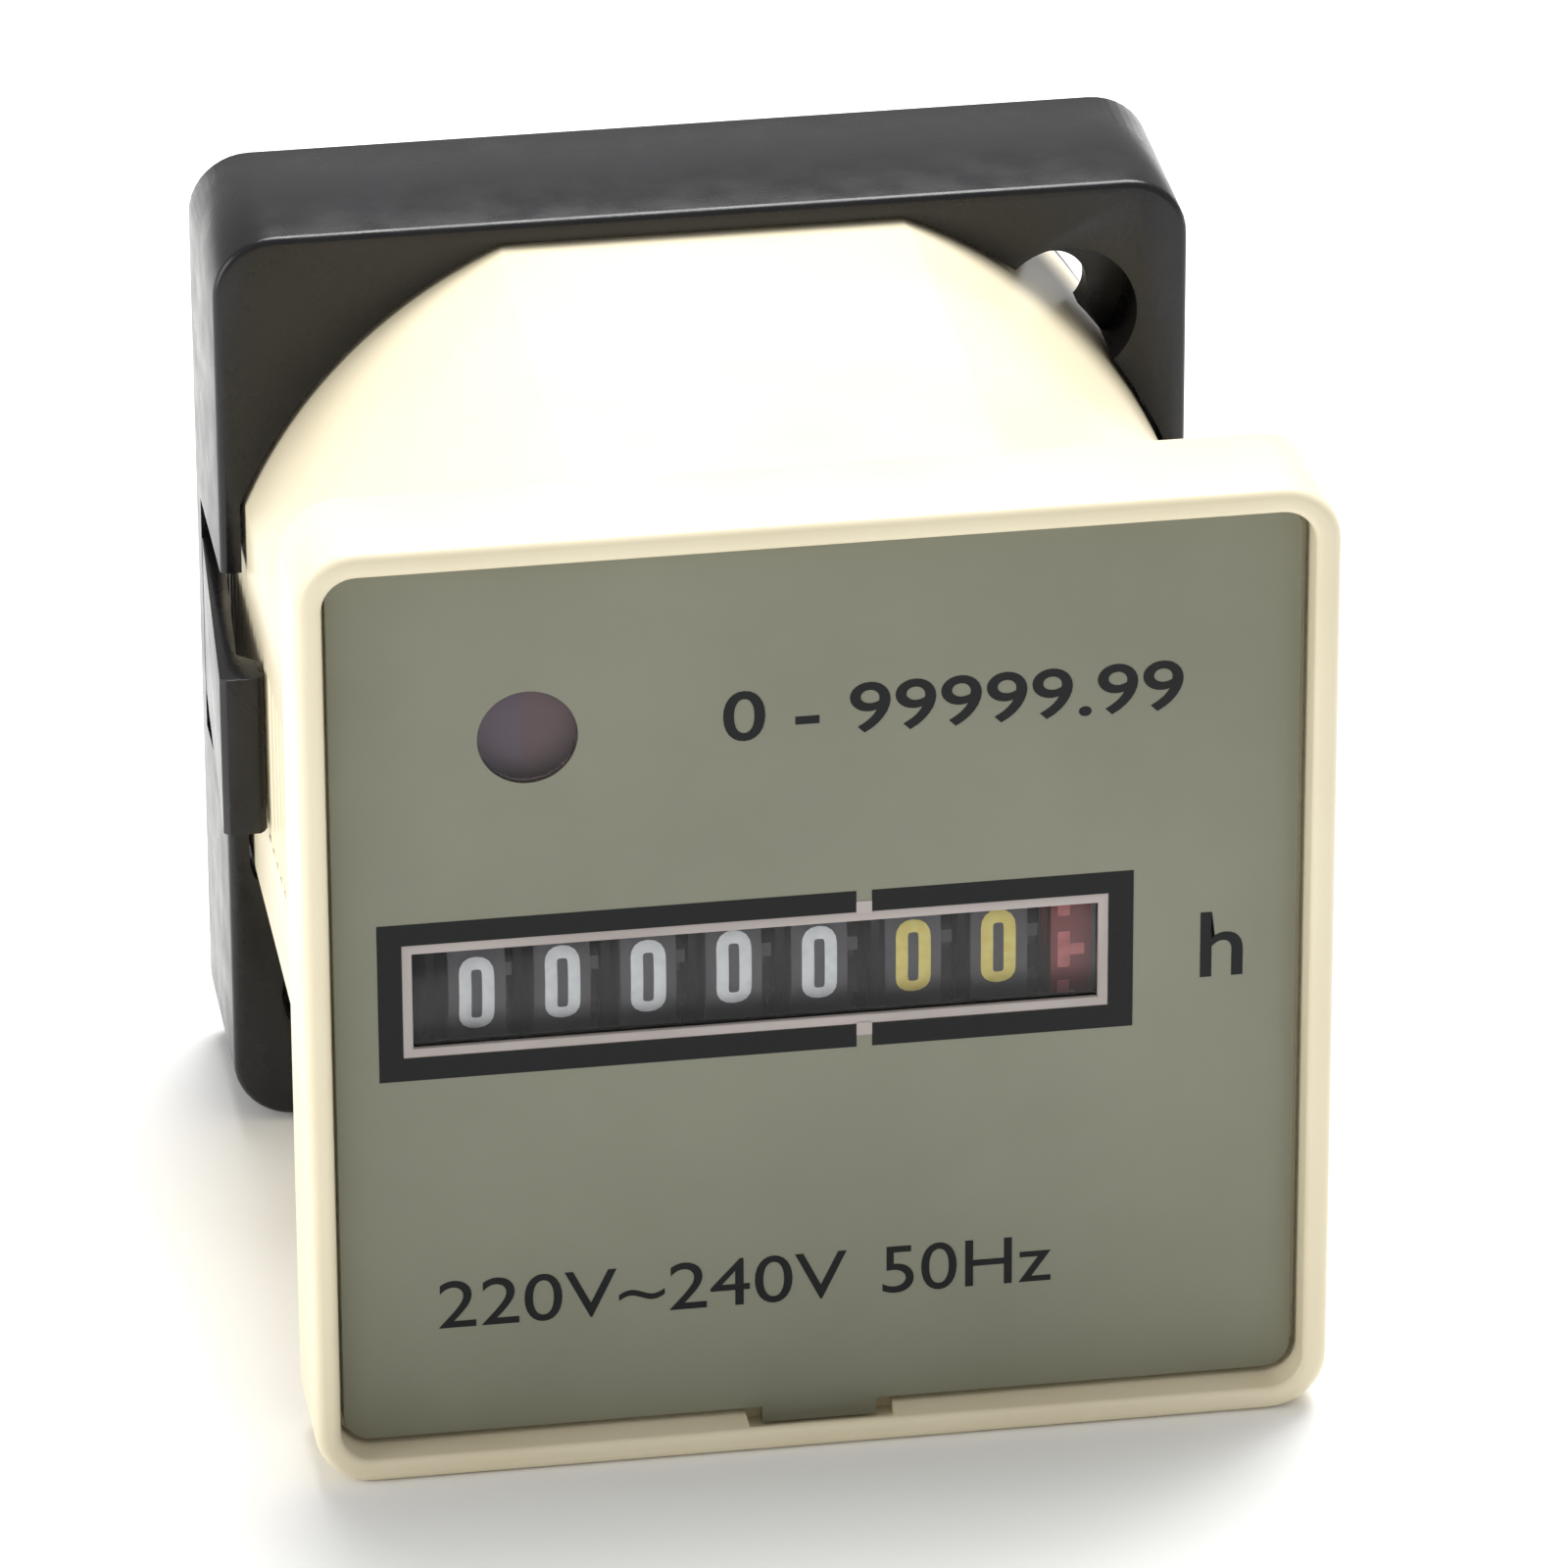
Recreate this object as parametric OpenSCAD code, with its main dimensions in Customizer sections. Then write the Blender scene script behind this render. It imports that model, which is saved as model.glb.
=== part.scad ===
// Panel-mounted running-hours meter, 48 x 48 mm front, for an AC supply.
// The front faces -Y, +X is to the right and +Z is up. The origin is the centre of the
// panel cut-out, in the plane where the bezel seats on the panel.

/* [Bezel] */
// Width and height of the square bezel
bezel_w = 48; // [44:0.5:60]
// Outer corner radius of the bezel
bezel_r = 2.8; // [1:0.1:5]
// Width of the rim around the face plate
rim_w = 1.2; // [0.9:0.1:2.5]
// Depth of the bezel in front of the panel
bezel_depth = 6.4; // [4.5:0.1:10]
// Rounding of the bezel's front edge
bezel_edge = 0.5; // [0.1:0.1:0.9]
// Depth of the face plate below the rim
plate_recess = 1.6; // [0.6:0.1:2.5]

/* [Body] */
// Diameter of the round body
body_d = 48.8; // [47:0.1:58]
// Distance across the body's four flats
body_flats = 44.74; // [43.5:0.02:52]
// Wall thickness of the body
body_wall = 1.6; // [1.2:0.1:2.2]
// Length of the body behind the panel
body_len = 41.5; // [38:0.5:60]
// Pitch of the ratchet grooves on the side flats
ratchet_pitch = 1.5; // [1:0.1:3]
// Depth of the ratchet grooves
ratchet_depth = 0.5; // [0.2:0.05:0.8]
// Length of each ratchet groove
ratchet_w = 9.2; // [5:0.1:12]

/* [Face plate] */
// Thickness of the face plate
plate_t = 1.0; // [0.6:0.1:1.4]
// Corner radius of the face plate
plate_r = 1.3; // [0.5:0.1:3]
// Gap all round between the face plate and the rim
plate_gap = 0.3; // [0.1:0.05:0.6]
// Width of the locating tab under the face plate
tab_w = 5.4; // [3:0.1:10]
// Height of the locating tab
tab_h = 0.6; // [0.4:0.05:0.8]
// Gap at each end of the locating tab
tab_gap = 0.8; // [0.2:0.1:2]
// Height of the counter window's centre
window_z = 0.375; // [-2:0.025:3]
// Clear height of the counter window
window_h = 4.85; // [3.5:0.05:7]
// Width of the pale frame around the counter window
window_edge = 0.5; // [0.3:0.05:1]
// Space between the end number wheels and the window frame
window_side = 1.5; // [0.4:0.1:2]
// Position of the running indicator, sideways
indicator_x = -13.35; // [-14:0.05:-12]
// Position of the running indicator, up
indicator_z = 13.5; // [12.6:0.05:14]
// Diameter of the indicator window
indicator_d = 4.65; // [3:0.05:5.4]
// Diameter of the turning indicator disc
indicator_disc_d = 5.8; // [5.5:0.1:6]

/* [Counter] */
// Sideways position of the highest number wheel
first_wheel_x = -15.65; // [-15.8:0.05:-15]
// Spacing of the number wheels
wheel_pitch = 3.97; // [3.8:0.01:4]
// Extra space before the two decimal wheels
decimal_gap = 0.4; // [0:0.05:0.45]
// Spacing of the running wheel from the last number wheel
running_pitch = 3.75; // [3.7:0.01:3.9]
// Diameter of a number wheel
wheel_d = 16; // [15:0.1:16.6]
// Width of a number wheel's printed band
band_w = 2.6; // [2.2:0.1:2.7]
// Clearance in front of the number wheels
wheel_front_gap = 0.4; // [0.2:0.05:1]
// Diameter of the fixed counter shaft
counter_shaft_d = 2; // [1.5:0.1:3]
// Diameter of the fixed shaft of the carry pinions
carry_shaft_d = 1.4; // [1:0.1:1.8]
// Tooth module of the counter's gears
counter_m = 0.65; // [0.6:0.01:0.66]

/* [Movement] */
// Depth of the front movement plate behind the panel
front_plate_y = 13.6; // [13.4:0.1:16]
// Space between the two movement plates
plates_gap = 10; // [10:0.1:14]
// Thickness of the movement plates
movement_t = 1.2; // [0.8:0.1:1.5]
// Tooth module of the reduction gears
train_m = 0.3; // [0.28:0.005:0.3]
// Diameter of the fixed pins that carry the wheels
arbor_d = 1; // [0.8:0.05:1.2]

/* [Motor] */
// Diameter of the motor can
motor_d = 32; // [28:0.5:32.4]
// Length of the motor can
motor_len = 13; // [10:0.5:13.5]
// Wall of the motor can
motor_wall = 1; // [0.6:0.1:1.4]
// Diameter of the rotor magnet
rotor_d = 15; // [12:0.1:15.6]
// Diameter of the rotor shaft
rotor_shaft_d = 1.2; // [1:0.1:1.4]
// Number of poles on each half of the stator
poles = 12; // [6:1:14]

/* [Rear cover and terminals] */
// Thickness of the rear cover
cover_t = 2; // [1.5:0.1:4]
// Height of the terminal block behind the cover
block_h = 6.1; // [5.6:0.1:10]
// Width of one terminal bay
bay_w = 10.2; // [8.6:0.1:10.6]
// Thickness of the walls around the terminal bays
bay_wall = 1.3; // [0.8:0.1:2]
// Diameter of a terminal screw
terminal_d = 3.5; // [3:0.1:4]

/* [Bracket] */
// Outside width of the square bracket
bracket_w = 47.32; // [46.5:0.01:60]
// Corner radius of the bracket
bracket_r = 3; // [1:0.1:5]
// Depth of the bracket, front to rear
bracket_depth = 10.78; // [8:0.01:14]
// Thickness of the bracket's front wall
bracket_front_t = 5; // [4.4:0.1:6]
// Thickness of the bracket's skirt in the corners
bracket_skirt = 1.4; // [1:0.1:2]
// Distance of the bracket's front from the panel seat
bracket_y = 29.8; // [24:0.1:34]
// Diameter of the corner recess
recess_d = 7; // [5:0.1:8]
// Depth of the corner recess
recess_depth = 3.8; // [2:0.1:4]
// Diameter of the hole in the corner recess
recess_hole_d = 3.4; // [2.5:0.1:4]
// Width of a latch arm
latch_w = 8.3; // [5:0.1:11]
// Reach of a latch arm in front of the bracket
latch_reach = 7.5; // [4:0.1:10]
// Thickness of a latch arm
latch_t = 1.1; // [0.7:0.05:1.5]
// Spread of a latch arm at its tip, out from the bracket's side
latch_flare = 0.94; // [0.3:0.01:1.5]

/* [Fits] */
// Radial running clearance of every turning part
run_gap = 0.05; // [0.02:0.01:0.08]
// Clearance of the bracket on the body
bracket_gap = 0.25; // [0.15:0.05:0.5]
// Clearance of the movement plates in the body
movement_gap = 0.5; // [0.2:0.05:0.8]
// Clearance between a latch tip and the ratchet crests
latch_gap = 0.1; // [0.05:0.05:0.3]
// Clearance at the root of a latch arm
latch_root_gap = 0.15; // [0.1:0.05:0.3]

/* [Hidden] */
$fn = 64;
nudge = 0.01;

// Face plate and its pocket
pocket_half = bezel_w / 2 - rim_w;
plate_half = pocket_half - plate_gap;
bezel_front_y = -bezel_depth;
plate_front_y = bezel_front_y + plate_recess;
plate_back_y = plate_front_y + plate_t;
tab_back_t = 0.6;
slot_web = 0.35;
slot_gap = 0.1;

// Body
body_r = body_d / 2;
flat_half = body_flats / 2;
inner_r = body_r - body_wall;
inner_flat = flat_half - body_wall;
ratchet_start = 3;
ratchet_end = body_len - 2.5;
lug_gap = 0.15;

// Counter: wheel places along X, and the gear sizes
number_wheels = 7;
whole_wheels = 5;
wheel_r = wheel_d / 2;
last_wheel_x = first_wheel_x + (number_wheels - 1) * wheel_pitch + decimal_gap;
running_x = last_wheel_x + running_pitch;
function wheel_x(i) = i == number_wheels
    ? running_x
    : first_wheel_x + i * wheel_pitch + (i >= whole_wheels ? decimal_gap : 0);
counter_y = plate_back_y + wheel_front_gap + wheel_r;
counter_z = window_z - 0.025;
wheel_teeth = 20;
carry_teeth = 8;
drive_teeth = 10;
crown_teeth = 24;
wheel_gear_w = 0.6;
carry_rim_w = 0.4;
carry_angle = -60;
carry_reach = (wheel_teeth + carry_teeth) / 2 * counter_m;
carry_y = counter_y + carry_reach * cos(carry_angle);
carry_z = counter_z + carry_reach * sin(carry_angle);
carry_pinion_w = 0.62;
carry_pinion_gap = 0.16;
drive_gear_w = 1.2;
drive_y = counter_y + (wheel_teeth + drive_teeth) / 2 * counter_m;
drive_x0 = running_x + band_w / 2 + 0.1;

// Window: it stops short of the gear beside the running wheel
window_x0 = first_wheel_x - band_w / 2 - carry_rim_w - window_side;
window_x1 = running_x + band_w / 2 - window_edge;

// Counter frame
cheek_t = 0.8;
cheek_gap = 1.25;
cheek_left_x = first_wheel_x - band_w / 2 - carry_rim_w - cheek_gap - cheek_t;
shaft_end = 0.3;
cheek_half = 2.2;
web_t = 0.7;
web_y = front_plate_y - web_t;
web_top = 9;
web_bottom = -6.9;
lug_t = 0.7;
lug_x = drive_x0 - lug_t - 0.27;
drive_cut_x = lug_x - 0.25;
drive_cut_half = 4.3;
frame_screw_x = [-10, 6];
frame_screw_z = 7;

// Gear train, in order from the motor: tooth counts and places
pinion_teeth = 10;
first_teeth = 50;
second_teeth = 60;
output_teeth = 60;
idler_teeth = 60;
indicator_teeth = 18;
gear_w = 0.8;
back_plate_y = front_plate_y + movement_t + plates_gap;
motor_y = back_plate_y + movement_t;
function mesh_gap(a, b) = (a + b) / 2 * train_m;
// Corner of a triangle on base a-b, at ra from a and rb from b, on the chosen side
function third_corner(a, b, ra, rb, side) =
    let (d = norm(b - a), u = (b - a) / d, s = (ra * ra - rb * rb + d * d) / (2 * d),
         h = sqrt(ra * ra - s * s))
    a + s * u + side * h * [-u[1], u[0]];
motor_at = [0, 0];
output_back = 2.12;
output_at = [running_x - output_back, counter_z];
first_dir = -109.4;
first_at = mesh_gap(pinion_teeth, first_teeth) * [cos(first_dir), sin(first_dir)];
second_at = third_corner(first_at, output_at, mesh_gap(pinion_teeth, second_teeth),
    mesh_gap(pinion_teeth, output_teeth), -1);
indicator_at = [indicator_x, indicator_z];
idler_at = third_corner(output_at, indicator_at, mesh_gap(output_teeth, idler_teeth),
    mesh_gap(idler_teeth, indicator_teeth), 1);
function bearing(a, b) = atan2(b[1] - a[1], b[0] - a[0]);
// Angle of a tooth on the second gear that puts it in mesh with the first
function mesh_phase(phase, teeth, dir, teeth2) =
    dir + 180 - (phase - dir) * teeth / teeth2 + 180 / teeth2;
phase_rotor = bearing(motor_at, first_at);
phase_first = mesh_phase(phase_rotor, pinion_teeth, bearing(motor_at, first_at), first_teeth);
phase_first_pinion = bearing(first_at, second_at);
phase_second = mesh_phase(phase_first_pinion, pinion_teeth, bearing(first_at, second_at),
    second_teeth);
phase_second_pinion = bearing(second_at, output_at);
phase_output = mesh_phase(phase_second_pinion, pinion_teeth, bearing(second_at, output_at),
    output_teeth);
phase_idler = mesh_phase(phase_output, output_teeth, bearing(output_at, idler_at), idler_teeth);
phase_indicator = mesh_phase(phase_idler, idler_teeth, bearing(idler_at, indicator_at),
    indicator_teeth);
phase_drive = 180 / drive_teeth;
phase_running = mesh_phase(phase_drive, drive_teeth, 180, wheel_teeth);
phase_carry = mesh_phase(0, wheel_teeth, carry_angle, carry_teeth);
// Depths of the three layers of gears between the movement plates
layer_first_y = back_plate_y - 2;
layer_second_y = layer_first_y - 1.5;
layer_output_y = layer_second_y - 1.5;
crown_add = 0.8 * counter_m;
crown_tip_y = drive_y + (drive_teeth / 2) * counter_m - crown_add;
crown_disc_y = drive_y + (drive_teeth / 2) * counter_m + crown_add + 0.23;
crown_disc_t = 0.9;
crown_r = crown_teeth / 2 * counter_m;
crown_face_w = 1.7;
drive_x1 = output_at[0] + crown_r + crown_face_w / 2 + 0.4;
cheek_right_x = drive_x1 + 0.35;
hub_r = 1.4;
arbor_r = arbor_d / 2;
indicator_shaft_r = 0.5;

// Fasteners of the movement
movement_boss_r = 2.6;
movement_boss_reach = inner_r - 2.2;
movement_boss_dirs = [45, 225, 315];
movement_hole_len = 6;
pillar_inset = 2.17;
pillar_places = [[0, inner_flat - pillar_inset], [pillar_inset + 1.1 - inner_flat, -8.5],
    [inner_flat - pillar_inset - 1, 10], [-1, pillar_inset - inner_flat]];
pillar_r = 1.5;
m2_r = 1;
m2_head_r = 1.7;
m2_head_h = 1;
m2_slot_w = 0.4;
ear_dirs = [160, 340];
motor_r = motor_d / 2;
ear_reach = motor_r + 2.8;
ear_r = 2.5;
ear_arm_half = 2.1;
ear_y = motor_y + 0.1;
ear_back_y = ear_y + motor_wall;

// Motor
pole_r = rotor_d / 2 + 0.45;
pole_t = 0.8;
bobbin_r = pole_r + pole_t + 0.35;
bobbin_t = 0.6;
bobbin_out_r = motor_r - motor_wall - 0.3;
motor_back_y = motor_y + motor_len;
bush_r = 2;
lead_x = 5;
lead_z = bobbin_out_r - 1.5;
lead_r = 0.4;
rotor_half_gap = 1.5;

// Rear cover and terminals
cover_y = body_len;
cover_back_y = cover_y + cover_t;
cover_inset = 0.1;
spigot_len = 1.7;
spigot_wall = 1.2;
spigot_gap = 0.2;
cover_boss_r = 2.7;
cover_boss_in = 2.5;
cover_boss_dirs = [120, 240];
// A boss leans on the round wall, or on the flat where that is nearer
cover_boss_reach = min(inner_r - cover_boss_in,
    (inner_flat - cover_boss_in) / sin(cover_boss_dirs[0]));
cover_boss_len = 10.5;
cover_hole_len = 8;
cover_screw_r = 1.1;
cover_head_r = 2;
cover_head_h = 1.2;
block_back_y = cover_back_y + block_h;
bay_floor_y = cover_back_y + 0.5;
bay_pitch = bay_w + 2;
block_half_w = bay_pitch / 2 + bay_w / 2 + bay_wall;
terminal_z = -0.5;
block_bottom = terminal_z - 7;
bay_top = terminal_z + 4.9;
strap_t = 0.8;
strap_w = 8;
strap_tail_w = 2.5;
strap_tail_y = cover_y - 0.9;
strap_gap = 0.4;
strap_below = 4.2;
clamp_w = 7;
clamp_t = 0.8;
terminal_head_r = 3.2;
terminal_head_h = 1.8;

// Bracket and latches
bracket_half = bracket_w / 2;
bracket_back_y = bracket_y + bracket_depth;
recess_at = [bracket_half - 5.96, bracket_half - 6.76];
latch_half = latch_w / 2;
latch_tip_y = bracket_y - latch_reach;
latch_window_half = latch_half + 2.05;
latch_window_end = bracket_back_y - 1.93;
latch_root_y = latch_window_end - latch_root_gap;
latch_hook_len = 1.9;

// Places one shape on the XZ plane and draws it along Y
module along_y(y0, y1) {
    translate([0, y1, 0]) rotate([90, 0, 0]) linear_extrude(y1 - y0) children();
}

// Places one shape on the YZ plane and draws it along X
module along_x(x0, x1) {
    translate([x0, 0, 0]) rotate([90, 0, 90]) linear_extrude(x1 - x0) children();
}

module y_rod(at, y0, y1, r) {
    translate([at[0], y1, at[1]]) rotate([90, 0, 0]) cylinder(h = y1 - y0, r = r);
}

module x_rod(at, x0, x1, r) {
    translate([x0, at[0], at[1]]) rotate([0, 90, 0]) cylinder(h = x1 - x0, r = r);
}

module block(low, high) {
    translate(low) cube(high - low);
}

module round_square(half, r) {
    square([2 * half, 2 * (half - r)], center = true);
    square([2 * (half - r), 2 * half], center = true);
    for (sx = [-1, 1], sz = [-1, 1]) translate([sx * (half - r), sz * (half - r)]) circle(r);
}

// A round bar with four flats
module flatted_bar(r, half, y0, y1) {
    intersection() {
        y_rod([0, 0], y0, y1, r);
        block([-half, y0 - 1, -half], [half, y1 + 1, half]);
    }
}

function polar(r, a) = r * [cos(a), sin(a)];

// Half the angle of a tooth at radius r, on an involute flank
function tooth_half(r, pitch_r, base_r, half_at_pitch) =
    let (inv = function (a) tan(a) * 180 / PI - a,
         a0 = acos(base_r / pitch_r), a1 = r > base_r ? acos(base_r / r) : 0)
    half_at_pitch + inv(a0) - inv(a1);

// Outline of a spur gear with a tooth on the angle "phase"
module gear_outline(teeth, m, phase, add) {
    pitch_r = teeth * m / 2;
    base_r = pitch_r * cos(20);
    root_r = pitch_r - 1.1 * m;
    tip_r = pitch_r + add * m;
    half_at_pitch = 0.43 * 180 / teeth;
    start_r = max(base_r, root_r);
    radii = concat(root_r < base_r ? [root_r] : [],
        [for (k = [0 : 3]) start_r + (tip_r - start_r) * k / 3]);
    count = len(radii);
    polygon([
        for (i = [0 : teeth - 1]) let (a = phase + i * 360 / teeth)
            for (k = [0 : 2 * count - 1])
                let (j = k < count ? k : 2 * count - 1 - k, side = k < count ? -1 : 1)
                polar(radii[j], a + side * tooth_half(radii[j], pitch_r, base_r, half_at_pitch))
    ]);
}

wheel_add = 0.6;
pinion_add = 0.85;

module screw(at, y_head, y_tip, r, head_r, head_h, slot_w) {
    // The head stands behind y_head and the shank runs forward to y_tip
    difference() {
        union() {
            y_rod(at, y_tip, y_head + nudge, r);
            y_rod(at, y_head, y_head + head_h, head_r);
        }
        translate([at[0], y_head + head_h, at[1]])
            cube([2 * head_r + 1, head_h, slot_w], center = true);
    }
}

// ---------------------------------------------------------------- case

// One cream moulding: square bezel, round body with flats, ratchet and screw bosses
module housing() {
    color("#e6dcc0") difference() {
        union() {
            hull() for (k = [0, 1])
                along_y(bezel_front_y + (1 - k) * bezel_edge, k == 1 ? -nudge : 0)
                    round_square(bezel_w / 2 - k * bezel_edge, bezel_r - k * bezel_edge, $fn = 32);
            flatted_bar(body_r, flat_half, -nudge, body_len);
        }
        along_y(bezel_front_y - 1, plate_back_y) round_square(pocket_half, plate_r + plate_gap);
        block([-tab_w / 2 - tab_gap, bezel_front_y + slot_web, -pocket_half - tab_h - slot_gap],
            [tab_w / 2 + tab_gap, plate_back_y, -pocket_half + 1]);
        difference() {
            flatted_bar(inner_r, inner_flat, plate_back_y - nudge, body_len + 1);
            for (a = movement_boss_dirs)
                y_rod(polar(movement_boss_reach, a), plate_back_y + 0.8, front_plate_y,
                    movement_boss_r);
            for (a = cover_boss_dirs)
                y_rod(polar(cover_boss_reach, a), body_len - cover_boss_len, body_len,
                    cover_boss_r);
        }
        for (a = movement_boss_dirs)
            y_rod(polar(movement_boss_reach, a), front_plate_y - movement_hole_len,
                front_plate_y + nudge, m2_r);
        for (a = cover_boss_dirs)
            y_rod(polar(cover_boss_reach, a), body_len - cover_hole_len, body_len + nudge, cover_screw_r);
        cover_lug(lug_gap);
        for (side = [-1, 1], y = [ratchet_start : ratchet_pitch : ratchet_end])
            translate([side * flat_half, y, 0]) rotate([0, 0, 45])
                cube([ratchet_depth * sqrt(2), ratchet_depth * sqrt(2), ratchet_w], center = true);
    }
}

// Grey-green plate that carries the printing and the two windows
module face_plate() {
    color("#888a79") difference() {
        union() {
            along_y(plate_front_y, plate_back_y) round_square(plate_half, plate_r);
            block([-tab_w / 2, plate_front_y, -pocket_half - tab_h + slot_gap],
                [tab_w / 2, plate_front_y + tab_back_t, -plate_half + 1]);
        }
        window_block(window_edge, plate_front_y - 1, plate_back_y + 1);
        y_rod(indicator_at, plate_front_y - 1, plate_back_y + 1, indicator_d / 2);
    }
}

module window_block(grow, y0, y1) {
    block([window_x0 - grow, y0, window_z - window_h / 2 - grow],
        [window_x1 + grow, y1, window_z + window_h / 2 + grow]);
}

// Pale liner around the counter window
module window_frame() {
    color("#b8b0ae") difference() {
        window_block(window_edge, plate_front_y, plate_back_y);
        window_block(0, plate_front_y - 1, plate_back_y + 1);
    }
}

module counter_window() {
    color([0.8, 0.85, 0.85, 0.4]) window_block(0, plate_front_y + 0.15, plate_back_y - 0.05);
}

module indicator_window() {
    color("#5a4f55")
        y_rod(indicator_at, plate_front_y + 0.05, plate_back_y - 0.2, indicator_d / 2);
}

// ---------------------------------------------------------------- counter

// Sheet-metal frame: a web against the movement plate and two cheeks bent forward
module counter_frame() {
    foot = [[front_plate_y, web_bottom + 0.8], [front_plate_y, web_top - 2]];
    left = concat([[web_y + nudge, web_top - 1], [counter_y, 6.2], [counter_y - 3.2, 2],
        [counter_y - 3.2, -1.6], [carry_y - 2, carry_z - 2], [carry_y + 1.8, carry_z - 2]], foot);
    color("#b9bcbf") difference() {
        union() {
            block([cheek_left_x, web_y, web_bottom], [cheek_right_x + cheek_t, front_plate_y, web_top]);
            along_x(cheek_left_x, cheek_left_x + cheek_t) polygon(left);
            along_x(cheek_right_x, cheek_right_x + cheek_t) polygon(left);
            block([cheek_right_x, web_y, counter_z - cheek_half],
                [cheek_right_x + cheek_t, drive_y + cheek_half, counter_z + cheek_half]);
            block([lug_x, web_y, counter_z - cheek_half],
                [lug_x + lug_t, drive_y + cheek_half, counter_z + cheek_half]);
        }
        block([lug_x + lug_t, web_y - 1, counter_z - drive_cut_half],
            [cheek_right_x, front_plate_y + 1, counter_z + drive_cut_half]);
        x_rod([counter_y, counter_z], cheek_left_x - 1, cheek_right_x + 2, counter_shaft_d / 2);
        x_rod([carry_y, carry_z], cheek_left_x - 1, cheek_right_x + 2, carry_shaft_d / 2);
        x_rod([drive_y, counter_z], lug_x - 1, cheek_right_x + 2, arbor_r + run_gap);
        for (x = frame_screw_x) y_rod([x, frame_screw_z], web_y - 1, front_plate_y + 1, m2_r);
    }
}

module counter_shaft() {
    color("#c9cbcd")
        x_rod([counter_y, counter_z], cheek_left_x - shaft_end, cheek_right_x + cheek_t + 0.2,
            counter_shaft_d / 2);
}

module carry_shaft() {
    color("#c9cbcd")
        x_rod([carry_y, carry_z], cheek_left_x - shaft_end, cheek_right_x + cheek_t + 0.2,
            carry_shaft_d / 2);
}

// Two teeth on a rim, which lead the next wheel on once in each turn
module carry_rim_outline() {
    pitch_r = wheel_teeth / 2 * counter_m;
    circle(pitch_r - 1.1 * counter_m);
    intersection() {
        gear_outline(wheel_teeth, counter_m, 90 + 180 / wheel_teeth, wheel_add);
        polygon([[0, 0], polar(2 * pitch_r, 108), polar(2 * pitch_r, 72)]);
    }
}

module wheel_body(x, tint, gear_w_now, phase) {
    half = band_w / 2;
    color(tint) difference() {
        union() {
            x_rod([counter_y, counter_z], x - half, x + half, wheel_r);
            translate([0, counter_y, counter_z])
                along_x(x + half - nudge, x + half + gear_w_now)
                    gear_outline(wheel_teeth, counter_m, phase, wheel_add);
            translate([0, counter_y, counter_z])
                along_x(x - half - carry_rim_w, x - half + nudge) carry_rim_outline();
        }
        // The band is a thin rim, open towards the carry side
        difference() {
            x_rod([counter_y, counter_z], x - half - 1, x + half - 0.8, 5);
            x_rod([counter_y, counter_z], x - half - 2, x + half, 2.1);
        }
        x_rod([counter_y, counter_z], x - 5, x + 5, counter_shaft_d / 2 + run_gap);
    }
}

module number_wheel(i) {
    wheel_body(wheel_x(i), "#3d3c40", wheel_gear_w, 0);
}

module running_wheel() {
    wheel_body(running_x, "#4a3336", drive_gear_w, phase_running);
}

// Carry pinion between wheel i and the wheel on its right. It stops short of that wheel's
// carry teeth, because a carry happens only once in a turn.
module carry_pinion(i) {
    x0 = wheel_x(i) + band_w / 2 + carry_pinion_gap;
    color("#d9d4c6") difference() {
        translate([0, carry_y, carry_z]) along_x(x0, x0 + carry_pinion_w)
            gear_outline(carry_teeth, counter_m, phase_carry, pinion_add);
        x_rod([carry_y, carry_z], x0 - 1, x0 + 2, carry_shaft_d / 2 + run_gap);
    }
}

// Long pinion that takes the drive from the crown wheel to the running wheel
module drive_pinion() {
    color("#d9d4c6") union() {
        translate([0, drive_y, counter_z]) along_x(drive_x0, drive_x1)
            gear_outline(drive_teeth, counter_m, phase_drive, pinion_add);
        x_rod([drive_y, counter_z], lug_x - 0.2, cheek_right_x + cheek_t + 0.1, arbor_r);
    }
}

module frame_screws() {
    color("#c9cbcd") for (x = frame_screw_x)
        mirror([0, 1, 0]) screw([x, frame_screw_z], -web_y, -front_plate_y - movement_t - 0.6,
            m2_r, m2_head_r, m2_head_h, m2_slot_w);
}

// ---------------------------------------------------------------- movement

module movement_plate(y) {
    difference() {
        flatted_bar(inner_r - movement_gap, inner_flat - movement_gap, y, y + movement_t);
        for (a = cover_boss_dirs)
            y_rod(polar(cover_boss_reach, a), y - 1, y + movement_t + 1, cover_boss_r + 0.4);
        for (at = [first_at, second_at, output_at, idler_at])
            y_rod(at, y - 1, y + movement_t + 1, arbor_r);
        y_rod(indicator_at, y - 1, y + movement_t + 1, indicator_shaft_r + run_gap);
        for (at = pillar_places) y_rod(at, y - 1, y + movement_t + 1, m2_r);
    }
}

module front_plate() {
    color("#b58d3f") difference() {
        movement_plate(front_plate_y);
        block([drive_cut_x, front_plate_y - 1, counter_z - drive_cut_half - 0.2],
            [inner_r, front_plate_y + movement_t + 1, counter_z + drive_cut_half + 0.2]);
        for (a = movement_boss_dirs)
            y_rod(polar(movement_boss_reach, a), front_plate_y - 1, front_plate_y + 3, m2_r);
        for (x = frame_screw_x)
            y_rod([x, frame_screw_z], front_plate_y - 1, front_plate_y + 3, m2_r);
    }
}

module rear_plate() {
    color("#b58d3f") difference() {
        movement_plate(back_plate_y);
        y_rod(motor_at, back_plate_y - 1, motor_y + 1, bush_r);
        for (a = ear_dirs) y_rod(polar(ear_reach, a), back_plate_y - 1, motor_y + 1, m2_r);
        for (a = movement_boss_dirs)
            y_rod(polar(movement_boss_reach, a), back_plate_y - 1, motor_y + 1, m2_head_r + 0.3);
    }
}

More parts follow.
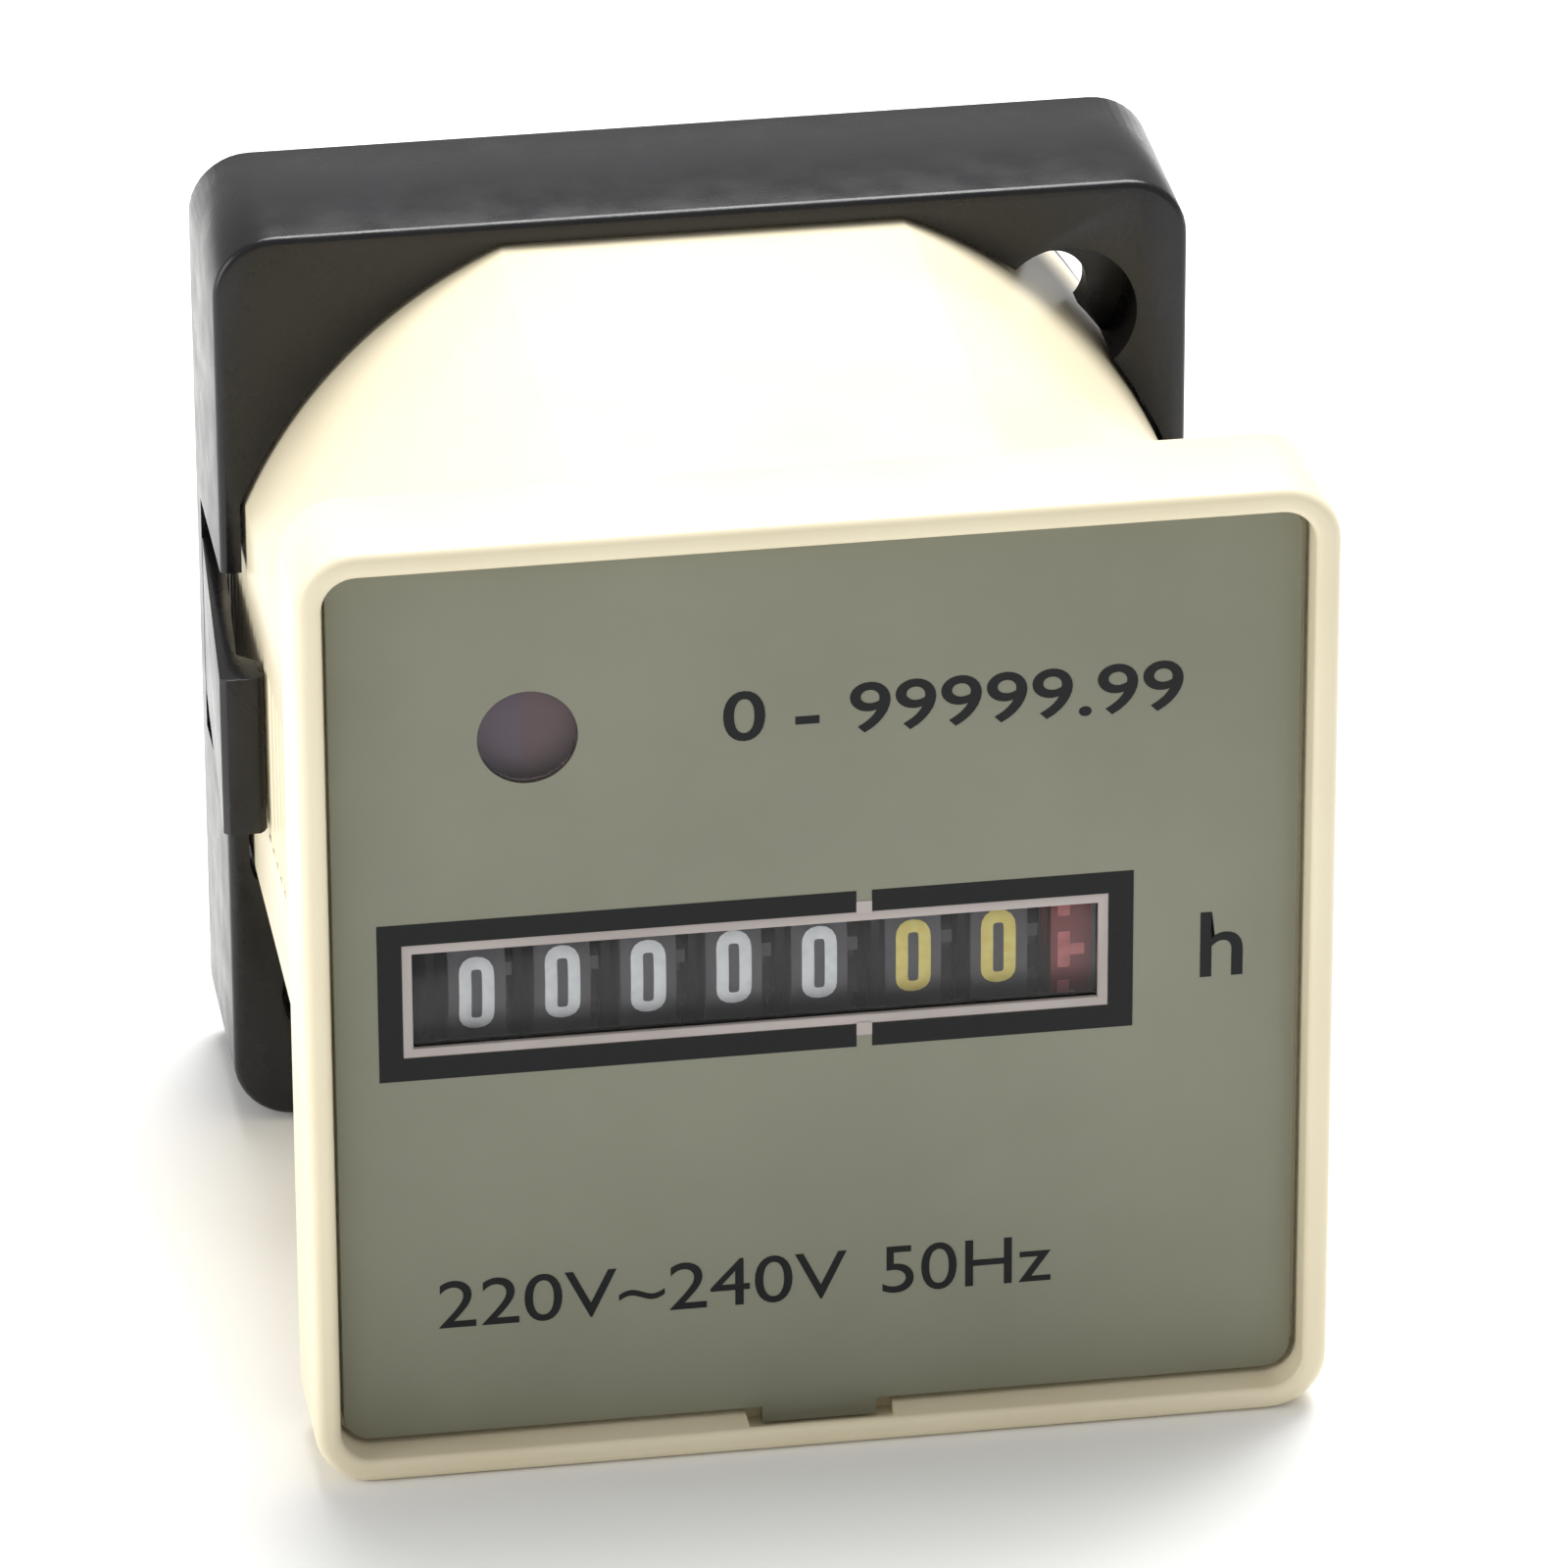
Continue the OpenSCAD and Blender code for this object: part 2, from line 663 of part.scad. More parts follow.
module pillars() {
    color("#c9a455") for (at = pillar_places) difference() {
        union() {
            y_rod(at, front_plate_y + movement_t, back_plate_y, pillar_r);
            y_rod(at, front_plate_y, front_plate_y + movement_t + nudge, m2_r);
        }
        y_rod(at, back_plate_y - 4, back_plate_y + 1, m2_r);
    }
}

module pillar_screws() {
    color("#c9cbcd") for (at = pillar_places)
        screw(at, motor_y, back_plate_y - 3.5, m2_r, m2_head_r, m2_head_h, m2_slot_w);
}

module movement_screws() {
    color("#c9cbcd") for (a = movement_boss_dirs)
        screw(polar(movement_boss_reach, a), front_plate_y + movement_t, front_plate_y - 5,
            m2_r, m2_head_r, m2_head_h, m2_slot_w);
}

module arbor_pins() {
    color("#c9cbcd") for (at = [first_at, second_at, output_at, idler_at])
        y_rod(at, front_plate_y, motor_y, arbor_r);
}

module train_gear(at, teeth, phase, y, w, add) {
    translate([at[0], 0, at[1]]) along_y(y, y + w) gear_outline(teeth, train_m, phase, add);
}

// Wheel with its pinion, both turning on a fixed pin
module compound_wheel(at, teeth, phase, y, pinion_phase, pinion_y) {
    difference() {
        union() {
            train_gear(at, teeth, phase, y, gear_w, wheel_add);
            y_rod(at, pinion_y + 0.1, y + nudge, 1.15);
            train_gear(at, pinion_teeth, pinion_phase, pinion_y, gear_w + 0.4, pinion_add);
        }
        y_rod(at, pinion_y - 1, y + 3, arbor_r + run_gap);
    }
}

module first_wheel() {
    color("#e9e4d6")
        compound_wheel(first_at, first_teeth, phase_first, layer_first_y,
            phase_first_pinion, layer_second_y - 0.2);
}

module second_wheel() {
    color("#e9e4d6")
        compound_wheel(second_at, second_teeth, phase_second, layer_second_y,
            phase_second_pinion, layer_output_y - 0.2);
}

// Spur wheel and crown wheel in one moulding
module output_wheel() {
    color("#e9e4d6") difference() {
        union() {
            train_gear(output_at, output_teeth, phase_output, layer_output_y, gear_w, wheel_add);
            y_rod(output_at, crown_disc_y, layer_output_y + nudge, 3);
            y_rod(output_at, crown_disc_y, crown_disc_y + crown_disc_t, crown_r + crown_face_w / 2);
            y_rod(output_at, front_plate_y + movement_t + 0.3, crown_disc_y + nudge, 1.3);
            for (i = [0 : crown_teeth - 1]) translate([output_at[0], 0, output_at[1]])
                rotate([0, i * 360 / crown_teeth, 0]) crown_tooth();
        }
        y_rod(output_at, front_plate_y, layer_output_y + 3, arbor_r + run_gap);
    }
}

// One tooth of the crown wheel, on the +X side
module crown_tooth() {
    base = 0.62;
    tip = 0.3;
    translate([crown_r - crown_face_w / 2, 0, 0]) rotate([90, 0, 90]) linear_extrude(crown_face_w)
        polygon([[crown_disc_y + nudge, -base / 2], [crown_disc_y + nudge, base / 2],
            [crown_tip_y, tip / 2], [crown_tip_y, -tip / 2]]);
}

module idler_wheel() {
    color("#e9e4d6") difference() {
        union() {
            train_gear(idler_at, idler_teeth, phase_idler, layer_output_y, gear_w, wheel_add);
            y_rod(idler_at, layer_output_y - 2, layer_output_y + gear_w + 2, hub_r);
        }
        y_rod(idler_at, layer_output_y - 3, layer_output_y + 4, arbor_r + run_gap);
    }
}

module indicator_shaft() {
    color("#d9d4c6") union() {
        y_rod(indicator_at, plate_back_y + 1, motor_y - 0.1, indicator_shaft_r);
        train_gear(indicator_at, indicator_teeth, phase_indicator, layer_output_y - 0.2,
            gear_w + 0.4, wheel_add);
        y_rod(indicator_at, layer_output_y - 1.2, layer_output_y, hub_r);
    }
}

// Two-tone disc behind the small round window
module indicator_disc() {
    color("#6b4e4a") difference() {
        union() {
            y_rod(indicator_at, plate_back_y + 0.3, plate_back_y + 0.8, indicator_disc_d / 2);
            y_rod(indicator_at, plate_back_y + 0.7, plate_back_y + 3, 1.2);
        }
        y_rod(indicator_at, plate_back_y + 1, plate_back_y + 4, indicator_shaft_r);
    }
}

// ---------------------------------------------------------------- motor

// Claw poles in a ring, which reach from one cup towards the other
module pole_ring(y0, y1, turn) {
    half_a = 0.36 * 180 / poles;
    intersection() {
        difference() {
            y_rod(motor_at, y0, y1, pole_r + pole_t);
            y_rod(motor_at, y0 - 1, y1 + 1, pole_r);
        }
        along_y(y0, y1) for (i = [0 : poles - 1]) let (a = turn + i * 360 / poles)
            polygon([[0, 0], polar(2 * pole_r, a - half_a), polar(2 * pole_r, a + half_a)]);
    }
}

module motor_front_cup() {
    mid_y = motor_y + motor_len / 2;
    color("#a9acae") difference() {
        union() {
            difference() {
                y_rod(motor_at, motor_y, mid_y, motor_r);
                y_rod(motor_at, motor_y + motor_wall, mid_y + 1, motor_r - motor_wall);
            }
            pole_ring(motor_y + motor_wall - nudge, motor_back_y - motor_wall - 0.8, 0);
            for (a = ear_dirs) {
                y_rod(polar(ear_reach, a), ear_y, ear_back_y, ear_r);
                rotate([0, -a, 0]) block([motor_r - motor_wall / 2, ear_y, -ear_arm_half],
                    [ear_reach, ear_back_y, ear_arm_half]);
            }
        }
        y_rod(motor_at, motor_y - 1, motor_y + 3, bush_r);
        for (a = ear_dirs) y_rod(polar(ear_reach, a), motor_y - 1, motor_y + 3, m2_r);
    }
}

module motor_rear_cup() {
    mid_y = motor_y + motor_len / 2;
    color("#a9acae") difference() {
        union() {
            difference() {
                y_rod(motor_at, mid_y, motor_back_y, motor_r);
                y_rod(motor_at, mid_y - 1, motor_back_y - motor_wall, motor_r - motor_wall);
            }
            pole_ring(motor_y + motor_wall + 0.8, motor_back_y - motor_wall + nudge, 180 / poles);
        }
        y_rod(motor_at, motor_back_y - 3, motor_back_y + 1, bush_r);
        for (side = [-1, 1])
            y_rod([side * lead_x, lead_z], motor_back_y - 3, motor_back_y + 1, 2 * lead_r);
    }
}

module motor_bobbin() {
    y0 = motor_y + motor_wall + 0.3;
    y1 = motor_back_y - motor_wall - 0.3;
    color("#2f2f33") difference() {
        y_rod(motor_at, y0, y1, bobbin_out_r);
        y_rod(motor_at, y0 - 1, y1 + 1, bobbin_r);
        difference() {
            y_rod(motor_at, y0 + bobbin_t, y1 - bobbin_t, bobbin_out_r + 1);
            y_rod(motor_at, y0, y1, bobbin_r + bobbin_t);
        }
    }
}

module motor_winding() {
    y0 = motor_y + motor_wall + 0.3 + bobbin_t;
    y1 = motor_back_y - motor_wall - 0.3 - bobbin_t;
    color("#a5552c") difference() {
        y_rod(motor_at, y0, y1, bobbin_out_r - 0.8);
        y_rod(motor_at, y0 - 1, y1 + 1, bobbin_r + bobbin_t);
    }
}

module motor_bushes() {
    color("#c08f3a") for (span = [[back_plate_y, motor_y + motor_wall + 0.4],
        [motor_back_y - motor_wall - 0.4, motor_back_y + 0.5]]) difference() {
        y_rod(motor_at, span[0], span[1], bush_r);
        y_rod(motor_at, span[0] - 1, span[1] + 1, rotor_shaft_d / 2 + run_gap);
    }
}

module motor_screws() {
    color("#c9cbcd") for (a = ear_dirs)
        screw(polar(ear_reach, a), ear_back_y, back_plate_y - 0.4, m2_r, m2_head_r,
            m2_head_h, m2_slot_w);
}

module rotor_magnet() {
    color("#3a3a3d") difference() {
        y_rod(motor_at, motor_y + motor_wall + rotor_half_gap,
            motor_back_y - motor_wall - rotor_half_gap, rotor_d / 2);
        y_rod(motor_at, motor_y, motor_back_y, rotor_shaft_d / 2);
    }
}

module rotor_shaft() {
    color("#c9cbcd") union() {
        y_rod(motor_at, layer_first_y - 0.6, motor_back_y + 0.4, rotor_shaft_d / 2);
        train_gear(motor_at, pinion_teeth, phase_rotor, layer_first_y - 0.2, gear_w + 0.4,
            pinion_add);
    }
}

// Straight insulated wires with round bends
module coil_leads() {
    start_y = motor_back_y - motor_wall - 0.3;
    turn_y = motor_back_y + 0.9;
    end_z = bay_top - strap_gap;
    color("#b03a2e") for (side = [-1, 1]) {
        y_rod([side * lead_x, lead_z], start_y, turn_y, lead_r);
        translate([side * lead_x, turn_y, lead_z]) sphere(lead_r);
        from = [side * lead_x, turn_y, lead_z];
        to = [side * bay_pitch / 2, strap_tail_y + 0.2, end_z];
        span = to - from;
        translate(from) rotate([0, acos(span[2] / norm(span)), atan2(span[1], span[0])])
            cylinder(h = norm(span), r = lead_r);
    }
}

// ---------------------------------------------------------------- rear cover

// Lug on the spigot that hooks into the right-hand wall of the body
module cover_lug(grow) {
    block([inner_flat - 0.6, cover_y - 1.4 - grow, -2 - grow],
        [inner_flat + 0.8 + grow, cover_y - 0.5 + grow, 2 + grow]);
}

module rear_cover() {
    color("#2b2b2e") difference() {
        union() {
            flatted_bar(body_r - cover_inset, flat_half - cover_inset, cover_y, cover_back_y);
            difference() {
                flatted_bar(inner_r - spigot_gap, inner_flat - spigot_gap, cover_y - spigot_len,
                    cover_y + nudge);
                flatted_bar(inner_r - spigot_gap - spigot_wall,
                    inner_flat - spigot_gap - spigot_wall, cover_y - spigot_len - 1, cover_y);
            }
            cover_lug(0);
            block([-block_half_w, cover_back_y - nudge, block_bottom],
                [block_half_w, block_back_y, bay_top + bay_wall]);
        }
        for (side = [-1, 1]) {
            x = side * bay_pitch / 2;
            block([x - bay_w / 2, bay_floor_y, block_bottom - 1],
                [x + bay_w / 2, block_back_y + 1, bay_top]);
            y_rod([x, terminal_z], cover_y - 2, bay_floor_y + 1, terminal_d / 2);
            block([x - strap_tail_w / 2, cover_y - 2, bay_top - strap_t - strap_gap],
                [x + strap_tail_w / 2, bay_floor_y + 1, bay_top - strap_gap]);
        }
        for (a = cover_boss_dirs) {
            at = polar(cover_boss_reach, a);
            y_rod(at, cover_y - spigot_len - 1, cover_y, cover_boss_r + 0.3);
            y_rod(at, cover_y - 3, cover_back_y + 1, cover_screw_r + 0.15);
            y_rod(at, cover_back_y - cover_head_h, cover_back_y + 1, cover_head_r + 0.2);
        }
    }
}

module cover_screws() {
    color("#c9cbcd") for (a = cover_boss_dirs)
        screw(polar(cover_boss_reach, a), cover_back_y - cover_head_h, cover_y - 7,
            cover_screw_r, cover_head_r, cover_head_h - 0.1, 0.5);
}

// Brass straps: a flat in each bay with a tail through the cover for the coil lead
module terminal_straps() {
    color("#c8a14a") for (side = [-1, 1]) let (x = side * bay_pitch / 2) difference() {
        union() {
            block([x - strap_w / 2, bay_floor_y, terminal_z - strap_below],
                [x + strap_w / 2, bay_floor_y + strap_t, bay_top - strap_gap]);
            block([x - strap_tail_w / 2, strap_tail_y, bay_top - strap_t - strap_gap],
                [x + strap_tail_w / 2, bay_floor_y + nudge, bay_top - strap_gap]);
        }
        y_rod([x, terminal_z], bay_floor_y - 1, bay_floor_y + 2, terminal_d / 2);
    }
}

module terminal_clamps() {
    y0 = bay_floor_y + strap_t;
    color("#c9cbcd") for (side = [-1, 1]) let (x = side * bay_pitch / 2) difference() {
        block([x - clamp_w / 2, y0, terminal_z - clamp_w / 2],
            [x + clamp_w / 2, y0 + clamp_t, terminal_z + clamp_w / 2]);
        y_rod([x, terminal_z], y0 - 1, y0 + 2, terminal_d / 2);
    }
}

module terminal_screws() {
    y0 = bay_floor_y + strap_t + clamp_t;
    color("#d3d5d6") for (side = [-1, 1]) let (x = side * bay_pitch / 2) difference() {
        screw([x, terminal_z], y0, cover_y - 0.5, terminal_d / 2, terminal_head_r,
            terminal_head_h, 0.8);
        translate([x, y0 + terminal_head_h, terminal_z])
            cube([0.8, terminal_head_h, 3.6], center = true);
    }
}

// ---------------------------------------------------------------- bracket

// Push-on bracket: a thick front wall with a skirt behind it
module bracket_ring() {
    hole_r = body_r + bracket_gap;
    hole_flat = flat_half + bracket_gap;
    difference() {
        along_y(bracket_y, bracket_back_y) round_square(bracket_half, bracket_r);
        flatted_bar(hole_r, hole_flat, bracket_y - 1, bracket_back_y + 1);
        along_y(bracket_y + bracket_front_t, bracket_back_y + 1)
            round_square(bracket_half - bracket_skirt, bracket_r - bracket_skirt + 0.2);
        for (side = [-1, 1]) {
            at = side * recess_at;
            y_rod(at, bracket_y - 1, bracket_y + recess_depth, recess_d / 2);
            y_rod(at, bracket_y - 1, bracket_y + bracket_front_t + 1, recess_hole_d / 2);
            block([side > 0 ? hole_flat - 1 : -bracket_half - 1, bracket_y - 1, -latch_window_half],
                [side > 0 ? bracket_half + 1 : 1 - hole_flat, latch_window_end, latch_window_half]);
        }
    }
}

// The one moulding is kept as two halves, which meet on the middle plane
module bracket_part(x0, x1) {
    color("#2c2b2e") intersection() {
        bracket_ring();
        block([x0, bracket_y - 1, -bracket_half - 1], [x1, bracket_back_y + 1, bracket_half + 1]);
    }
}

module bracket_left() {
    bracket_part(-bracket_half - 1, 0);
}

module bracket_right() {
    bracket_part(0, bracket_half + 1);
}

// Spring arm on the right; the left one is its mirror image
module latch_arm() {
    tip_x = flat_half + latch_gap;
    out_x = bracket_half + latch_flare;
    root_in = flat_half + bracket_gap + 0.05;
    translate([0, 0, -latch_half]) difference() {
        linear_extrude(latch_w) polygon([
            [tip_x, latch_tip_y + 0.35], [tip_x + 0.35, latch_tip_y], [out_x - 0.3, latch_tip_y],
            [out_x, latch_tip_y + 0.3], [bracket_half, latch_root_y - 0.1],
            [bracket_half - 0.1, latch_root_y], [root_in, latch_root_y],
            [out_x - latch_t, latch_tip_y + latch_hook_len + 0.9], [tip_x, latch_tip_y + latch_hook_len]
        ]);
        translate([tip_x - 1, latch_tip_y - 1, 0]) rotate([0, 45, 0])
            cube([1.6, 3.5, 1.6], center = true);
    }
}

module latch_right() {
    color("#2c2b2e") latch_arm();
}

module latch_left() {
    color("#2c2b2e") mirror([1, 0, 0]) latch_arm();
}

housing();
face_plate();
window_frame();
counter_window();
indicator_window();
counter_frame();
counter_shaft();
carry_shaft();
number_wheel(0);  // wheel_ten_thousands
number_wheel(1);  // wheel_thousands
number_wheel(2);  // wheel_hundreds
number_wheel(3);  // wheel_tens
number_wheel(4);  // wheel_ones
number_wheel(5);  // wheel_tenths
number_wheel(6);  // wheel_hundredths
running_wheel();
carry_pinion(0);  // carry_pinion_1
carry_pinion(1);  // carry_pinion_2
carry_pinion(2);  // carry_pinion_3
carry_pinion(3);  // carry_pinion_4
carry_pinion(4);  // carry_pinion_5
carry_pinion(5);  // carry_pinion_6
carry_pinion(6);  // carry_pinion_7
drive_pinion();
frame_screws();
front_plate();
rear_plate();
pillars();
pillar_screws();
movement_screws();
arbor_pins();
first_wheel();
second_wheel();
output_wheel();
idler_wheel();
indicator_shaft();
indicator_disc();
motor_front_cup();
motor_rear_cup();
motor_bobbin();
motor_winding();
motor_bushes();
motor_screws();
rotor_magnet();
rotor_shaft();
coil_leads();
rear_cover();
cover_screws();
terminal_straps();
terminal_clamps();
terminal_screws();
bracket_left();
bracket_right();
latch_left();
latch_right();
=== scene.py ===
"""Finished looks of a panel-mounted running-hours counter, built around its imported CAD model.

Every size is in millimetres in the row frame: the origin is the middle of the panel cut-out at the
rear face of the bezel, the front faces -Y and +Z is up. A mesh is scaled to metres as it leaves the
bench, and its object stays at the origin.
"""

import logging
import math
from dataclasses import dataclass
from enum import Enum
from typing import Callable, Dict, Iterable, List, Optional, Sequence, Tuple

import bmesh
import bpy
from mathutils import Matrix, Vector

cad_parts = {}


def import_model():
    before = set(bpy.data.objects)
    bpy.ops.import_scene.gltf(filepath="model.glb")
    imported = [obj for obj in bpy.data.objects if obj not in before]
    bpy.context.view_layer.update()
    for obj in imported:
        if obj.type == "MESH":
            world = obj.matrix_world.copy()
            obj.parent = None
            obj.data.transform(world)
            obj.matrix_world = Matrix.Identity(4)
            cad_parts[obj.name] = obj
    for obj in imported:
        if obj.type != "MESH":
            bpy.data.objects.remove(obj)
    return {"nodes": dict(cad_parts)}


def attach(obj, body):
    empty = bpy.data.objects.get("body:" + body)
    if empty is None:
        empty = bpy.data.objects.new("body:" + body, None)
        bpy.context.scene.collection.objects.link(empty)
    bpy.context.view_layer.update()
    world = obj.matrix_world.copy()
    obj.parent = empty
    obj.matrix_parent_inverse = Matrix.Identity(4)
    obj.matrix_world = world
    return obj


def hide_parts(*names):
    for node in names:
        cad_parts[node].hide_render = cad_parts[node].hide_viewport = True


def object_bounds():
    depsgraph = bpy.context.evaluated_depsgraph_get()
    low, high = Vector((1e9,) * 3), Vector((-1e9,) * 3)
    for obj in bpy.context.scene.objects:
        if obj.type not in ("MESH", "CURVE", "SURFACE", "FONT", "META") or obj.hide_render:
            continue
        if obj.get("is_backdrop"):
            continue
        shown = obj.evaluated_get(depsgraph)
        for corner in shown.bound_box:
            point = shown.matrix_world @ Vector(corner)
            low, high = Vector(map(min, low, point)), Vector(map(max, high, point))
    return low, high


LOG = logging.getLogger("hours_counter")

MM = 0.001
WELD = 1e-4
SHARP = math.radians(32.0)
ALONG_Y = Matrix.Rotation(math.radians(-90.0), 4, "X")
ALONG_X = Matrix.Rotation(math.radians(90.0), 4, "Y")

Colour = Tuple[float, float, float]
Span = Tuple[float, float]
Spot = Tuple[float, float]
Piece = bpy.types.Object


def screen(red: int, green: int, blue: int) -> Colour:
    """Turn an 8-bit screen colour into the linear colour that a shader takes.

    Args:
        red: Red, 0 to 255.
        green: Green, 0 to 255.
        blue: Blue, 0 to 255.

    Returns:
        The linear colour.
    """
    parts = []
    for level in (red, green, blue):
        value = level / 255.0
        parts.append(value / 12.92 if value <= 0.04045 else ((value + 0.055) / 1.055) ** 2.4)
    return (parts[0], parts[1], parts[2])


def polar(reach: float, degrees: float) -> Spot:
    """Point (x, z) at a distance and an angle from the middle of the body."""
    return (reach * math.cos(math.radians(degrees)), reach * math.sin(math.radians(degrees)))


# --------------------------------------------------------------------------------------------
# Finishes
# --------------------------------------------------------------------------------------------


class Recipe:
    """Node tree of one material, with the steps that the finishes share."""

    def __init__(self, name: str) -> None:
        """Start a material with a plain shader.

        Args:
            name: Name of the material.
        """
        self.material = bpy.data.materials.new(name)
        self.material.use_nodes = True
        self.tree = self.material.node_tree
        self.shader = self.tree.nodes["Principled BSDF"]
        self.coords = self.tree.nodes.new("ShaderNodeTexCoord").outputs["Object"]

    def join(self, source: bpy.types.NodeSocket, target: bpy.types.NodeSocket) -> None:
        """Link one socket to another."""
        self.tree.links.new(source, target)

    def set(self, **values: float) -> None:
        """Set plain values on the shader's own sockets; a name's _ stands for a space."""
        for name, value in values.items():
            self.shader.inputs[name.replace("_", " ")].default_value = value

    def placed(
        self,
        stretch: Tuple[float, float, float] = (1.0, 1.0, 1.0),
        shift: Tuple[float, float, float] = (0.0, 0.0, 0.0),
    ) -> bpy.types.NodeSocket:
        """Object coordinates, moved and stretched.

        Args:
            stretch: Scale on each axis, above 1 for a finer pattern.
            shift: What is added after the scale, in metres.

        Returns:
            The coordinates' socket.
        """
        node = self.tree.nodes.new("ShaderNodeMapping")
        node.inputs["Scale"].default_value = stretch
        node.inputs["Location"].default_value = shift
        self.join(self.coords, node.inputs["Vector"])
        return node.outputs["Vector"]

    def noise(
        self,
        size: float,
        detail: float = 3.0,
        coords: Optional[bpy.types.NodeSocket] = None,
    ) -> bpy.types.NodeSocket:
        """Soft noise.

        Args:
            size: Size of a blot in mm.
            detail: Octaves of finer noise.
            coords: Where it is read; object coordinates if None.

        Returns:
            A socket from 0 to 1.
        """
        node = self.tree.nodes.new("ShaderNodeTexNoise")
        node.inputs["Scale"].default_value = 1.0 / (size * MM)
        node.inputs["Detail"].default_value = detail
        self.join(coords or self.coords, node.inputs["Vector"])
        return node.outputs["Fac"]

    def cells(self, size: float, output: str = "Distance") -> bpy.types.NodeSocket:
        """Scattered cells of a size in mm: their distance or their chance colour."""
        node = self.tree.nodes.new("ShaderNodeTexVoronoi")
        node.inputs["Scale"].default_value = 1.0 / (size * MM)
        self.join(self.coords, node.inputs["Vector"])
        return node.outputs[output]

    def span(
        self, value: bpy.types.NodeSocket, source: Span, target: Span
    ) -> bpy.types.NodeSocket:
        """Map one range of a value to another, clamped at its ends.

        Args:
            value: What is mapped.
            source: Range that is read.
            target: Range that is given.

        Returns:
            The mapped value.
        """
        node = self.tree.nodes.new("ShaderNodeMapRange")
        for name, number in zip(("From Min", "From Max", "To Min", "To Max"), source + target):
            node.inputs[name].default_value = number
        self.join(value, node.inputs["Value"])
        return node.outputs["Result"]

    def ramp(
        self, value: bpy.types.NodeSocket, stops: Sequence[Tuple[float, Colour]]
    ) -> bpy.types.NodeSocket:
        """Colour by value.

        Args:
            value: What chooses the colour.
            stops: Place and colour of each stop, in order.

        Returns:
            The colour.
        """
        node = self.tree.nodes.new("ShaderNodeValToRGB")
        stop_list = node.color_ramp.elements
        while len(stop_list) < len(stops):
            stop_list.new(0.5)
        for stop, (place, colour) in zip(stop_list, stops):
            stop.position = place
            stop.color = (*colour, 1.0)
        self.join(value, node.inputs["Fac"])
        return node.outputs["Color"]

    def maths(
        self, kind: str, first: bpy.types.NodeSocket, second: object
    ) -> bpy.types.NodeSocket:
        """Sum, product or the like of a value and a value or number."""
        node = self.tree.nodes.new("ShaderNodeMath")
        node.operation = kind
        self.join(first, node.inputs[0])
        if isinstance(second, (int, float)):
            node.inputs[1].default_value = second
        else:
            self.join(second, node.inputs[1])
        return node.outputs[0]

    def mixed(
        self,
        amount: bpy.types.NodeSocket,
        first: bpy.types.NodeSocket,
        second: Colour,
    ) -> bpy.types.NodeSocket:
        """A colour pattern with a second colour laid over it by an amount."""
        node = self.tree.nodes.new("ShaderNodeMix")
        node.data_type = "RGBA"
        inputs = [s for s in node.inputs if s.type == "RGBA"]
        inputs[1].default_value = (*second, 1.0)
        self.join(amount, node.inputs[0])
        self.join(first, inputs[0])
        return [s for s in node.outputs if s.type == "RGBA"][0]

    def axis(self, coords: bpy.types.NodeSocket, name: str) -> bpy.types.NodeSocket:
        """One coordinate, X, Y or Z."""
        node = self.tree.nodes.new("ShaderNodeSeparateXYZ")
        self.join(coords, node.inputs[0])
        return node.outputs[name]

    def colour(self, value: bpy.types.NodeSocket) -> None:
        """Take the base colour from a pattern."""
        self.join(value, self.shader.inputs["Base Color"])

    def rough(self, value: bpy.types.NodeSocket, span: Span) -> None:
        """Take the roughness from a pattern, mapped to a range."""
        self.join(self.span(value, (0.25, 0.75), span), self.shader.inputs["Roughness"])

    def relief(self, value: bpy.types.NodeSocket, depth: float) -> None:
        """Raise the surface by a pattern.

        Args:
            value: Height from 0 to 1.
            depth: Height of 1, in mm.
        """
        node = self.tree.nodes.new("ShaderNodeBump")
        node.inputs["Distance"].default_value = depth * MM
        self.join(value, node.inputs["Height"])
        self.join(node.outputs["Normal"], self.shader.inputs["Normal"])


@dataclass(frozen=True)
class Finish:
    """A surface finish. A subclass gives its nodes in dress()."""

    name: str

    def dress(self, recipe: Recipe) -> None:
        """Add this finish's nodes to a fresh material."""
        raise NotImplementedError

    def material(self) -> bpy.types.Material:
        """The material of this finish, made once."""
        found = bpy.data.materials.get(self.name)
        if found is not None:
            return found
        recipe = Recipe(self.name)
        self.dress(recipe)
        return recipe.material


@dataclass(frozen=True)
class MouldedPlastic(Finish):
    """Moulded plastic: faint flow clouds, a fine texture and uneven gloss."""

    colour: Colour
    shade: Colour
    gloss: Span = (0.32, 0.46)
    cloud: float = 8.0
    grain: float = 0.25
    depth: float = 0.006
    specular: float = 0.5

    def dress(self, recipe: Recipe) -> None:
        """Clouded colour, fine grain in gloss and relief."""
        clouds = recipe.noise(self.cloud, 2.0)
        recipe.colour(recipe.ramp(clouds, [(0.3, self.shade), (0.62, self.colour)]))
        grain = recipe.noise(self.grain, 4.0)
        recipe.rough(recipe.noise(self.cloud * 0.4, 5.0), self.gloss)
        recipe.relief(grain, self.depth)
        recipe.set(Specular_IOR_Level=self.specular)


